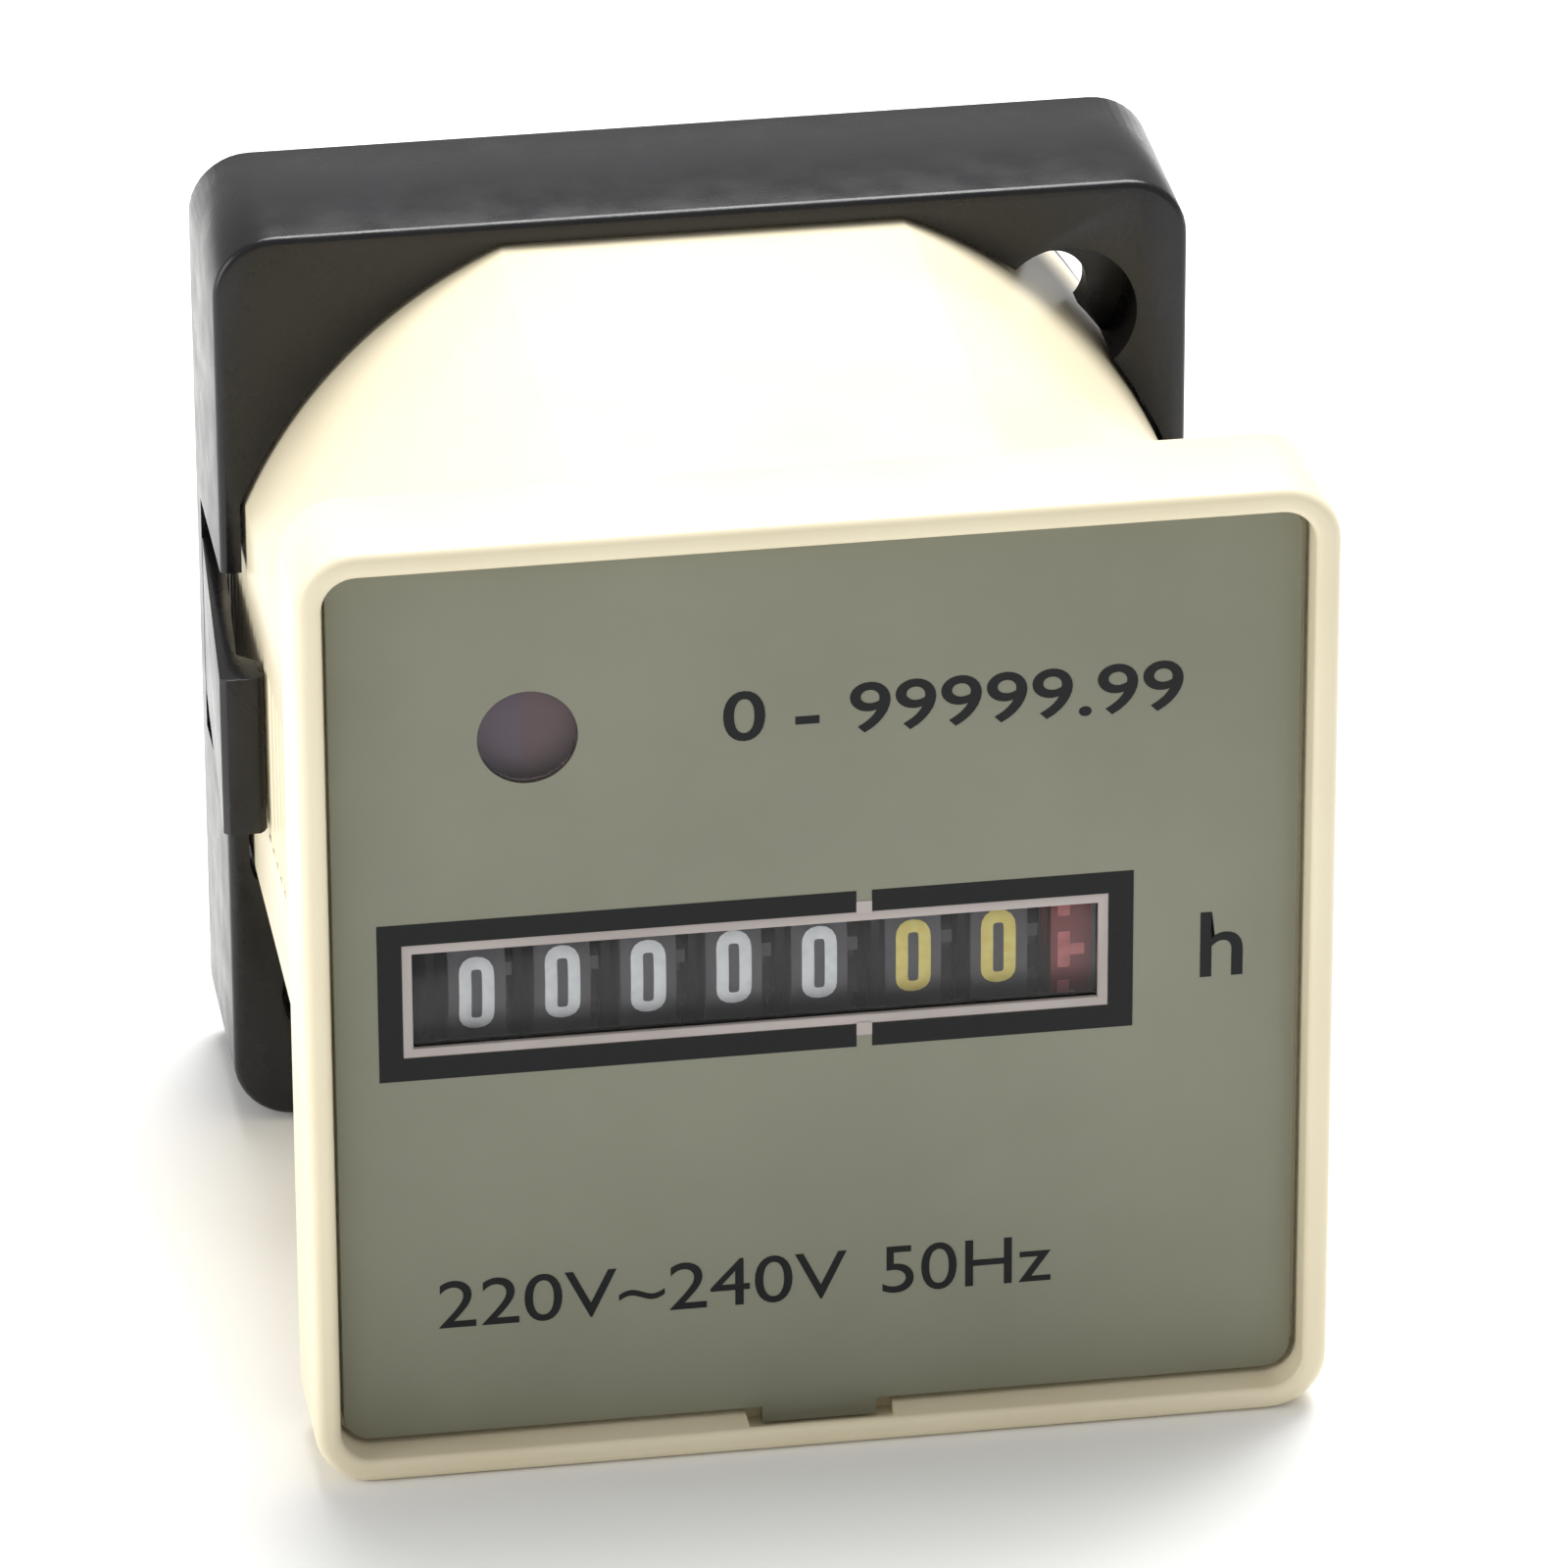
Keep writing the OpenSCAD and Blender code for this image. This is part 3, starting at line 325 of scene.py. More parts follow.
@dataclass(frozen=True)
class PrintedSheet(Finish):
    """Screen-printed sheet: matt ink with a fine tooth, faint clouds and small pale nicks."""

    colour: Colour
    shade: Colour
    nick: Colour
    gloss: Span = (0.42, 0.56)

    def dress(self, recipe: Recipe) -> None:
        """Clouded ink colour, nicks where scattered cells are close, fine tooth."""
        base = recipe.ramp(recipe.noise(11.0, 3.0), [(0.3, self.shade), (0.7, self.colour)])
        chance = recipe.axis(recipe.cells(3.4, "Color"), "X")
        near = recipe.span(recipe.cells(3.4), (0.05, 0.075), (1.0, 0.0))
        chosen = recipe.span(chance, (0.915, 0.92), (0.0, 1.0))
        ragged = recipe.span(recipe.noise(0.3, 2.0), (0.42, 0.5), (0.0, 1.0))
        nicks = recipe.maths("MULTIPLY", recipe.maths("MULTIPLY", near, chosen), ragged)
        recipe.colour(recipe.mixed(nicks, base, self.nick))
        tooth = recipe.noise(0.16, 3.0)
        recipe.rough(recipe.noise(2.5, 5.0), self.gloss)
        recipe.relief(tooth, 0.004)
        recipe.set(Specular_IOR_Level=0.4)


@dataclass(frozen=True)
class Ink(Finish):
    """Printed ink, a little uneven in colour and gloss."""

    colour: Colour
    shade: Colour
    specular: float = 0.4

    def dress(self, recipe: Recipe) -> None:
        """Mottled ink."""
        mottle = recipe.noise(0.5, 4.0)
        recipe.colour(recipe.ramp(mottle, [(0.35, self.shade), (0.6, self.colour)]))
        recipe.rough(mottle, (0.36, 0.5))
        recipe.relief(recipe.noise(0.1, 2.0), 0.003)
        recipe.set(Specular_IOR_Level=self.specular)


@dataclass(frozen=True)
class ClearPlastic(Finish):
    """Clear or smoked plastic with faint smears."""

    tint: Colour
    gloss: Span = (0.0, 0.06)
    index: float = 1.3

    def dress(self, recipe: Recipe) -> None:
        """See-through shader with smears in its gloss."""
        recipe.shader.inputs["Base Color"].default_value = (*self.tint, 1.0)
        recipe.set(Transmission_Weight=1.0, IOR=self.index)
        recipe.rough(recipe.noise(2.0, 4.0), self.gloss)
        recipe.relief(recipe.noise(6.0, 2.0), 0.004)


@dataclass(frozen=True)
class Metal(Finish):
    """Bare or plated metal with rolling marks along one axis."""

    colour: Colour
    shade: Colour
    gloss: Span = (0.22, 0.4)
    stretch: Tuple[float, float, float] = (1.0, 14.0, 14.0)

    def dress(self, recipe: Recipe) -> None:
        """Cloudy plating over fine drawn lines."""
        clouds = recipe.noise(3.0, 3.0)
        recipe.colour(recipe.ramp(clouds, [(0.3, self.shade), (0.7, self.colour)]))
        lines = recipe.noise(1.6, 4.0, recipe.placed(self.stretch))
        recipe.rough(lines, self.gloss)
        recipe.relief(lines, 0.003)
        recipe.set(Metallic=1.0)


@dataclass(frozen=True)
class WoundWire(Finish):
    """Layers of fine enamelled wire round the Y axis, with painted shade in the grooves between
    turns.
    """

    colour: Colour
    shade: Colour
    pitch: float = 0.16

    def dress(self, recipe: Recipe) -> None:
        """Fine bands along Y, broken a little by noise; the dark band valleys are painted shade
        between the turns.
        """
        wave = recipe.tree.nodes.new("ShaderNodeTexWave")
        wave.bands_direction = "Y"
        wave.inputs["Scale"].default_value = 2.0 * math.pi / 20.0 / (self.pitch * MM)
        wave.inputs["Distortion"].default_value = 0.6
        wave.inputs["Detail Scale"].default_value = 0.2
        recipe.join(recipe.coords, wave.inputs["Vector"])
        bands = wave.outputs["Fac"]
        # the shade colour in the band valleys is painted shade in the grooves between wire turns
        recipe.colour(recipe.ramp(bands, [(0.1, self.shade), (0.8, self.colour)]))
        recipe.rough(recipe.noise(1.0, 3.0), (0.25, 0.4))
        recipe.relief(bands, 0.04)
        recipe.set(Metallic=0.8)


@dataclass(frozen=True)
class SplitDisc(Finish):
    """Painted disc in two half colours, so that its turning shows."""

    centre: Spot
    left: Colour
    right: Colour

    def dress(self, recipe: Recipe) -> None:
        """Left and right of the disc's own middle."""
        across = recipe.axis(recipe.placed(shift=(-self.centre[0] * MM, 0.0, 0.0)), "X")
        side = recipe.span(across, (-0.0002, 0.0002), (0.0, 1.0))
        mottled = recipe.maths("ADD", side, recipe.span(recipe.noise(0.8), (0.3, 0.7), (-0.1, 0.1)))
        recipe.colour(recipe.ramp(mottled, [(0.2, self.left), (0.8, self.right)]))
        recipe.rough(recipe.noise(0.6, 3.0), (0.4, 0.55))
        recipe.relief(recipe.noise(0.2, 3.0), 0.004)


@dataclass(frozen=True)
class Ferrite(Finish):
    """Pressed ferrite: dark and grainy, with a slight sparkle."""

    colour: Colour

    def dress(self, recipe: Recipe) -> None:
        """Grain in colour, gloss and relief."""
        grain = recipe.noise(0.3, 5.0)
        pale = tuple(min(1.0, part * 1.9) for part in self.colour)
        recipe.colour(recipe.ramp(grain, [(0.35, self.colour), (0.75, pale)]))
        recipe.rough(grain, (0.4, 0.65))
        recipe.relief(grain, 0.02)


CREAM = MouldedPlastic(
    "cream_moulding", screen(236, 225, 196), screen(230, 218, 187), (0.3, 0.42), 14.0, 0.3, 0.004
)
LINER = MouldedPlastic("liner_moulding", screen(176, 167, 163), screen(162, 153, 149))
BLACK = MouldedPlastic(
    "black_moulding", screen(17, 16, 20), screen(12, 11, 14), (0.22, 0.36), 6.0, 0.22, 0.01, 0.42
)
COVER = MouldedPlastic(
    "cover_moulding", screen(36, 36, 39), screen(29, 29, 32), (0.4, 0.55), 6.0, 0.2, 0.02
)
DRUM = MouldedPlastic(
    "drum_moulding", screen(72, 69, 76), screen(60, 57, 63), (0.35, 0.5), 4.0, 0.2, 0.005
)
RED_DRUM = MouldedPlastic(
    "red_drum_moulding", screen(134, 48, 50), screen(112, 40, 42), (0.35, 0.5), 4.0, 0.2, 0.005
)
ACETAL = MouldedPlastic(
    "white_acetal", screen(232, 229, 219), screen(222, 218, 206), (0.28, 0.4), 4.0, 0.2, 0.005
)
BOBBIN = MouldedPlastic("bobbin_moulding", screen(44, 42, 40), screen(34, 33, 32))
LEAD = MouldedPlastic(
    "lead_insulation", screen(170, 44, 38), screen(150, 36, 32), (0.35, 0.5), 2.0, 0.3, 0.004
)
FACE = PrintedSheet("face_print", screen(133, 134, 117), screen(127, 128, 111), screen(205, 203, 188))
PRINT_BLACK = Ink("ink_black", screen(17, 18, 21), screen(11, 12, 14), 0.22)
PRINT_WHITE = Ink("ink_white", screen(252, 253, 255), screen(240, 242, 247))
PRINT_YELLOW = Ink("ink_yellow", screen(253, 236, 140), screen(246, 222, 120))
PRINT_PINK = Ink("ink_pink", screen(214, 126, 128), screen(196, 106, 108))
CLEAR = ClearPlastic("clear_plastic", screen(246, 247, 247))
SMOKE = ClearPlastic("smoked_plastic", screen(214, 206, 214), (0.02, 0.1))
FRAME_STEEL = Metal("frame_steel", screen(176, 178, 180), screen(150, 152, 155))
SHAFT_STEEL = Metal("shaft_steel", screen(205, 206, 208), screen(180, 182, 184), (0.12, 0.25))
SCREW_STEEL = Metal(
    "screw_steel", screen(206, 206, 200), screen(178, 178, 172), (0.2, 0.36), (1.0, 1.0, 1.0)
)
BRASS_PLATE = Metal("plate_brass", screen(206, 176, 108), screen(186, 154, 88))
STRAP = Metal("strap_brass", screen(214, 186, 120), screen(194, 164, 98), (0.2, 0.34))
MOTOR_STEEL = Metal("motor_steel", screen(172, 174, 176), screen(148, 150, 152), (0.3, 0.46))
BUSH = Metal("bush_bronze", screen(178, 128, 74), screen(150, 104, 58), (0.3, 0.45))
# second colour: painted shade for the grooves between wire turns
COPPER = WoundWire("winding_wire", screen(190, 104, 52), screen(96, 44, 20))
MAGNET = Ferrite("ferrite", screen(48, 47, 50))
INDICATOR = SplitDisc("indicator_paint", (-13.35, 13.5), screen(141, 131, 138), screen(147, 127, 121))


# --------------------------------------------------------------------------------------------
# The bench: meshes before they are pieces
# --------------------------------------------------------------------------------------------


class Bench:
    """A mesh being shaped, in millimetres, with the operators that the parts share."""

    def __init__(self) -> None:
        """Start with nothing on the bench."""
        self.bm = bmesh.new()

    def block(self, x: Span, y: Span, z: Span) -> List[bmesh.types.BMVert]:
        """Add a block.

        Args:
            x: Its ends along X.
            y: Its ends along Y.
            z: Its ends along Z.

        Returns:
            Its corners.
        """
        sizes = Vector((x[1] - x[0], y[1] - y[0], z[1] - z[0]))
        middle = Vector((x[0] + x[1], y[0] + y[1], z[0] + z[1])) / 2.0
        corners = bmesh.ops.create_cube(self.bm, size=1.0)["verts"]
        bmesh.ops.scale(self.bm, vec=sizes, verts=corners)
        bmesh.ops.translate(self.bm, vec=middle, verts=corners)
        return corners

    def rounded(self, half: float, y: Span, radius: float, segments: int = 10) -> None:
        """Add a square block about the middle, its four long corners rounded.

        Args:
            half: Half its side.
            y: Its ends along Y.
            radius: Corner radius.
            segments: Flats in each corner.
        """
        corners = self.block((-half, half), y, (-half, half))
        long_edges = [
            edge
            for edge in {e for corner in corners for e in corner.link_edges}
            if abs(edge.verts[0].co.y - edge.verts[1].co.y) > WELD
        ]
        bmesh.ops.bevel(
            self.bm,
            geom=long_edges,
            offset=radius,
            offset_type="OFFSET",
            segments=segments,
            profile=0.5,
            affect="EDGES",
            material=-1,
        )

    def rod(
        self, at: Spot, y: Span, radius: float, end_radius: Optional[float] = None, sides: int = 64
    ) -> None:
        """Add a round rod along Y.

        Args:
            at: Its middle (x, z).
            y: Its ends along Y.
            radius: Radius at the first end.
            end_radius: Radius at the second end; the same if None.
            sides: Flats round it.
        """
        middle = Matrix.Translation((at[0], (y[0] + y[1]) / 2.0, at[1]))
        bmesh.ops.create_cone(
            self.bm,
            cap_ends=True,
            cap_tris=False,
            segments=sides,
            radius1=radius,
            radius2=radius if end_radius is None else end_radius,
            depth=y[1] - y[0],
            matrix=middle @ ALONG_Y,
        )

    def flatted(self, radius: float, flat: float, y: Span, sides: int = 160) -> None:
        """Add a round bar along Y with four flats, as square as it is round.

        Args:
            radius: Radius of the bar.
            flat: Distance of each flat from the middle.
            y: Its ends along Y.
            sides: Flats round a full circle.
        """
        bar = bmesh.new()
        place = Matrix.Translation((0.0, y[0], 0.0)) @ ALONG_Y
        bmesh.ops.create_circle(bar, cap_ends=True, segments=sides, radius=radius, matrix=place)
        for way in ((-1.0, 0.0, 0.0), (1.0, 0.0, 0.0), (0.0, 0.0, -1.0), (0.0, 0.0, 1.0)):
            bmesh.ops.bisect_plane(
                bar,
                geom=bar.verts[:] + bar.edges[:] + bar.faces[:],
                plane_co=Vector(way) * flat,
                plane_no=way,
                clear_outer=True,
            )
        raised = bmesh.ops.extrude_face_region(bar, geom=bar.faces[:])["geom"]
        risen = [part for part in raised if isinstance(part, bmesh.types.BMVert)]
        bmesh.ops.translate(bar, vec=(0.0, y[1] - y[0], 0.0), verts=risen)
        self.add(bar)

    def outline(self, points: Sequence[Spot], z: Span) -> None:
        """Add a flat outline in X and Y, drawn out along Z.

        Args:
            points: Its corners (x, y), in order.
            z: Its ends along Z.
        """
        plate = bmesh.new()
        plate.faces.new([plate.verts.new((x, y, z[0])) for x, y in points])
        raised = bmesh.ops.extrude_face_region(plate, geom=plate.faces[:])["geom"]
        risen = [part for part in raised if isinstance(part, bmesh.types.BMVert)]
        bmesh.ops.translate(plate, vec=(0.0, 0.0, z[1] - z[0]), verts=risen)
        self.add(plate)

    def add(self, other: "bmesh.types.BMesh") -> None:
        """Move another mesh onto this bench."""
        scrap = bpy.data.meshes.new("scrap")
        other.to_mesh(scrap)
        other.free()
        self.bm.from_mesh(scrap)
        bpy.data.meshes.remove(scrap)

    def ease(
        self, pick: Callable[[Vector, Vector], bool], radius: float, segments: int = 3
    ) -> None:
        """Round the sharp edges that a test picks.

        Args:
            pick: Test of an edge's two ends.
            radius: Rounding radius.
            segments: Flats in the rounding.
        """
        edges = [
            edge
            for edge in self.bm.edges
            if len(edge.link_faces) == 2
            and edge.calc_face_angle(0.0) > SHARP
            and pick(edge.verts[0].co, edge.verts[1].co)
        ]
        bmesh.ops.bevel(
            self.bm,
            geom=edges,
            offset=radius,
            offset_type="OFFSET",
            segments=segments,
            profile=0.5,
            affect="EDGES",
            clamp_overlap=True,
            material=-1,
        )

    def mesh(self, name: str) -> bpy.types.Mesh:
        """Take the mesh off the bench, closed and facing outwards, still in millimetres."""
        bmesh.ops.remove_doubles(self.bm, verts=self.bm.verts[:], dist=WELD)
        bmesh.ops.recalc_face_normals(self.bm, faces=self.bm.faces[:])
        made = bpy.data.meshes.new(name)
        self.bm.to_mesh(made)
        self.bm.free()
        return made

    def tool(self, name: str) -> Piece:
        """Take the mesh off the bench as an object that can be cut or cut with."""
        made = bpy.data.objects.new(name, self.mesh(name))
        bpy.context.scene.collection.objects.link(made)
        return made


class Cut(Enum):
    """What a second solid does to the first."""

    AWAY = "DIFFERENCE"
    JOIN = "UNION"


def combine(first: Bench, second: Bench, cut: Cut) -> Bench:
    """Cut one solid with another, or join them.

    Args:
        first: The solid that is worked on.
        second: The solid that cuts or joins it. Its parts may lie apart.
        cut: Whether it cuts or joins.

    Returns:
        The result on a fresh bench.
    """
    work, cutter = first.tool("work"), second.tool("cutter")
    step = work.modifiers.new("cut", "BOOLEAN")
    step.operation = cut.value
    step.object = cutter
    step.solver = "EXACT"
    step.use_self = True
    ready = work.evaluated_get(bpy.context.evaluated_depsgraph_get())
    made = bpy.data.meshes.new_from_object(ready)
    result = Bench()
    result.bm.from_mesh(made)
    bpy.data.meshes.remove(made)
    for scrap in (work, cutter):
        leftover = scrap.data
        bpy.data.objects.remove(scrap)
        bpy.data.meshes.remove(leftover)
    bmesh.ops.remove_doubles(result.bm, verts=result.bm.verts[:], dist=WELD)
    bmesh.ops.dissolve_degenerate(result.bm, dist=WELD, edges=result.bm.edges[:])
    return result


def finished(bench: Bench, name: str, finish: Finish) -> Piece:
    """Make a piece of what is on a bench: to scale, smooth between sharp edges and dressed.

    Args:
        bench: The finished shape.
        name: Name of the piece.
        finish: Its finish.

    Returns:
        The piece, at the origin.
    """
    mesh = bench.mesh(name)
    mesh.transform(Matrix.Scale(MM, 4))
    mesh.polygons.foreach_set("use_smooth", [True] * len(mesh.polygons))
    mesh.set_sharp_from_angle(angle=SHARP)
    mesh.materials.append(finish.material())
    piece = bpy.data.objects.new(name, mesh)
    bpy.context.scene.collection.objects.link(piece)
    return piece


def seat(piece: Piece, body: str, nodes: Iterable[str] = ()) -> Piece:
    """Put a piece on its body and the nodes that it stands for.

    Args:
        piece: The finished piece.
        body: CAD body that it moves with.
        nodes: CAD nodes that it replaces.

    Returns:
        The piece.
    """
    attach(piece, body)
    if nodes:
        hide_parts(*nodes)
    LOG.info("%s on %s, %d faces", piece.name, body, len(piece.data.polygons))
    return piece


def refined(node: str, name: str, finish: Finish, edge: float = 0.08) -> Piece:
    """A closed copy of a CAD node with its sharp edges eased.

    Args:
        node: The CAD node.
        name: Name of the piece.
        finish: Its finish.
        edge: Width of the easing.

    Returns:
        The piece, not yet seated.
    """
    bench = Bench()
    bench.bm.from_mesh(bpy.data.objects[node].data)
    bmesh.ops.scale(bench.bm, vec=(1.0 / MM,) * 3, verts=bench.bm.verts[:])
    bmesh.ops.remove_doubles(bench.bm, verts=bench.bm.verts[:], dist=WELD)
    bmesh.ops.dissolve_limit(
        bench.bm,
        angle_limit=math.radians(0.6),
        verts=bench.bm.verts[:],
        edges=bench.bm.edges[:],
    )
    piece = finished(bench, name, finish)
    easing = piece.modifiers.new("easing", "BEVEL")
    easing.width = edge * MM
    easing.segments = 2
    easing.limit_method = "ANGLE"
    easing.angle_limit = SHARP
    easing.harden_normals = True
    return piece


# --------------------------------------------------------------------------------------------
# Sub-assemblies
# --------------------------------------------------------------------------------------------


@dataclass
class Housing:
    """Cream moulding: square bezel, pocket for the face plate and round body with latch teeth."""

    bezel_half: float = 24.0
    bezel_front: float = -6.4
    corner: float = 2.8
    rim_edge: float = 0.5
    pocket_half: float = 22.8
    pocket_corner: float = 1.6
    pocket_floor: float = -3.8
    slot_half: float = 3.5
    slot_front: float = -6.05
    slot_bottom: float = -23.5
    body_radius: float = 24.4
    body_flat: float = 22.37
    body_end: float = 41.5
    wall: float = 1.6
    tooth_pitch: float = 1.5
    tooth_depth: float = 0.5
    tooth_half: float = 4.6
    front_boss_angles: Tuple[float, ...] = (45.0, 225.0, 315.0)
    rear_boss_angles: Tuple[float, ...] = (120.0, 240.0)

    def shell(self) -> Bench:
        """Bezel and body as one solid, with the bezel's front edge rounded."""
        bezel = Bench()
        bezel.rounded(self.bezel_half, (self.bezel_front, 0.0), self.corner)
        bezel.ease(
            lambda a, b: max(a.y, b.y) < self.bezel_front + WELD, self.rim_edge, 4
        )
        bezel.ease(lambda a, b: min(a.y, b.y) > -WELD, 0.2, 2)
        body = Bench()
        body.flatted(self.body_radius, self.body_flat, (-0.5, self.body_end))
        return combine(bezel, body, Cut.JOIN)

    def hollow(self) -> Bench:
        """What is taken out behind the pocket: the inside less its screw bosses."""
        radius, flat = self.body_radius - self.wall, self.body_flat - self.wall
        inside = Bench()
        inside.flatted(radius, flat, (self.pocket_floor - 0.01, self.body_end + 1.0))
        bosses = Bench()
        for angle in self.front_boss_angles:
            bosses.rod(polar(radius - 2.2, angle), (-3.0, 13.6), 2.6, sides=40)
        for angle in self.rear_boss_angles:
            bosses.rod(polar(radius - 2.5, angle), (31.0, self.body_end), 2.7, sides=40)
        return combine(inside, bosses, Cut.AWAY)

    def small_cuts(self) -> Bench:
        """Pocket slot, screw holes, the key for the rear cover and the rows of latch teeth."""
        radius = self.body_radius - self.wall
        cuts = Bench()
        cuts.block(
            (-self.slot_half, self.slot_half),
            (self.slot_front, self.pocket_floor - 0.02),
            (self.slot_bottom, -self.pocket_half + 1.0),
        )
        for angle in self.front_boss_angles:
            cuts.rod(polar(radius - 2.2, angle), (7.6, 13.61), 1.0, sides=24)
        for angle in self.rear_boss_angles:
            cuts.rod(polar(radius - 2.5, angle), (33.5, self.body_end + 0.01), 1.1, sides=24)
        cuts.block((20.17, 21.72), (39.95, 41.15), (-2.15, 2.15))
        rows = int((self.body_end - 2.5 - 3.0) / self.tooth_pitch) + 1
        side = self.tooth_depth * math.sqrt(2.0)
        for edge in (-1.0, 1.0):
            for row in range(rows):
                middle = Vector((edge * self.body_flat, 3.0 + row * self.tooth_pitch, 0.0))
                corners = cuts.block(
                    (-side / 2.0, side / 2.0), (-side / 2.0, side / 2.0),
                    (-self.tooth_half, self.tooth_half),
                )
                bmesh.ops.rotate(
                    cuts.bm, verts=corners, matrix=Matrix.Rotation(math.pi / 4.0, 3, "Z")
                )
                bmesh.ops.translate(cuts.bm, verts=corners, vec=middle)
        return cuts

    def build(self) -> None:
        """Make the shell, cut it out and ease the pocket's edge."""
        shell = combine(self.shell(), self.hollow(), Cut.AWAY)
        pocket = Bench()
        pocket.rounded(
            self.pocket_half, (self.bezel_front - 1.0, self.pocket_floor), self.pocket_corner
        )
        shell = combine(shell, pocket, Cut.AWAY)
        shell.ease(lambda a, b: max(a.y, b.y) < self.bezel_front + WELD, 0.28, 3)
        shell = combine(shell, self.small_cuts(), Cut.AWAY)
        shell.ease(
            lambda a, b: min(a.y, b.y) > self.body_end - WELD
            and min(a.xz.length, b.xz.length) > self.body_flat - WELD,
            0.2,
            2,
        )
        seat(finished(shell, "housing_shell", CREAM), "case", ["housing"])


@dataclass
class Label:
    """Printed marks: flat digits and signs made from the built-in font."""

    front: float = -4.8
    thickness: float = 0.02

    def write(
        self, text: str, x: Span, z: Span, name: str, weight: float = 0.0
    ) -> None:
        """Print a text so that it fills a box on the face plate.

        Args:
            text: Digits and signs.
            x: Left and right of the print.
            z: Bottom and top of the print.
            name: Name of the piece.
            weight: How far the strokes are thickened, in font units.
        """
        curve = bpy.data.curves.new(name, "FONT")
        curve.body = text
        curve.resolution_u = 6
        curve.offset = weight
        holder = bpy.data.objects.new(name + "_curve", curve)
        bpy.context.scene.collection.objects.link(holder)
        ready = holder.evaluated_get(bpy.context.evaluated_depsgraph_get())
        flat = bpy.data.meshes.new_from_object(ready)
        bpy.data.objects.remove(holder)
        bpy.data.curves.remove(curve)
        print_bench = Bench()
        print_bench.bm.from_mesh(flat)
        bpy.data.meshes.remove(flat)
        bm = print_bench.bm
        bmesh.ops.remove_doubles(bm, verts=bm.verts[:], dist=1e-5)
        bmesh.ops.dissolve_limit(
            bm, angle_limit=math.radians(2.0), verts=bm.verts[:], edges=bm.edges[:]
        )
        low = Vector((min(v.co.x for v in bm.verts), min(v.co.y for v in bm.verts), 0.0))
        high = Vector((max(v.co.x for v in bm.verts), max(v.co.y for v in bm.verts), 0.0))
        bmesh.ops.translate(bm, verts=bm.verts[:], vec=-low)
        bmesh.ops.scale(
            bm,
            verts=bm.verts[:],
            vec=((x[1] - x[0]) / (high.x - low.x), (z[1] - z[0]) / (high.y - low.y), 1.0),
        )
        bmesh.ops.rotate(bm, verts=bm.verts[:], matrix=Matrix.Rotation(math.pi / 2.0, 3, "X"))
        bmesh.ops.translate(bm, verts=bm.verts[:], vec=(x[0], self.front + 0.005, z[0]))
        raised = bmesh.ops.extrude_face_region(bm, geom=bm.faces[:])["geom"]
        risen = [part for part in raised if isinstance(part, bmesh.types.BMVert)]
        bmesh.ops.translate(bm, verts=risen, vec=(0.0, -self.thickness - 0.005, 0.0))
        seat(finished(print_bench, name, PRINT_BLACK), "case")


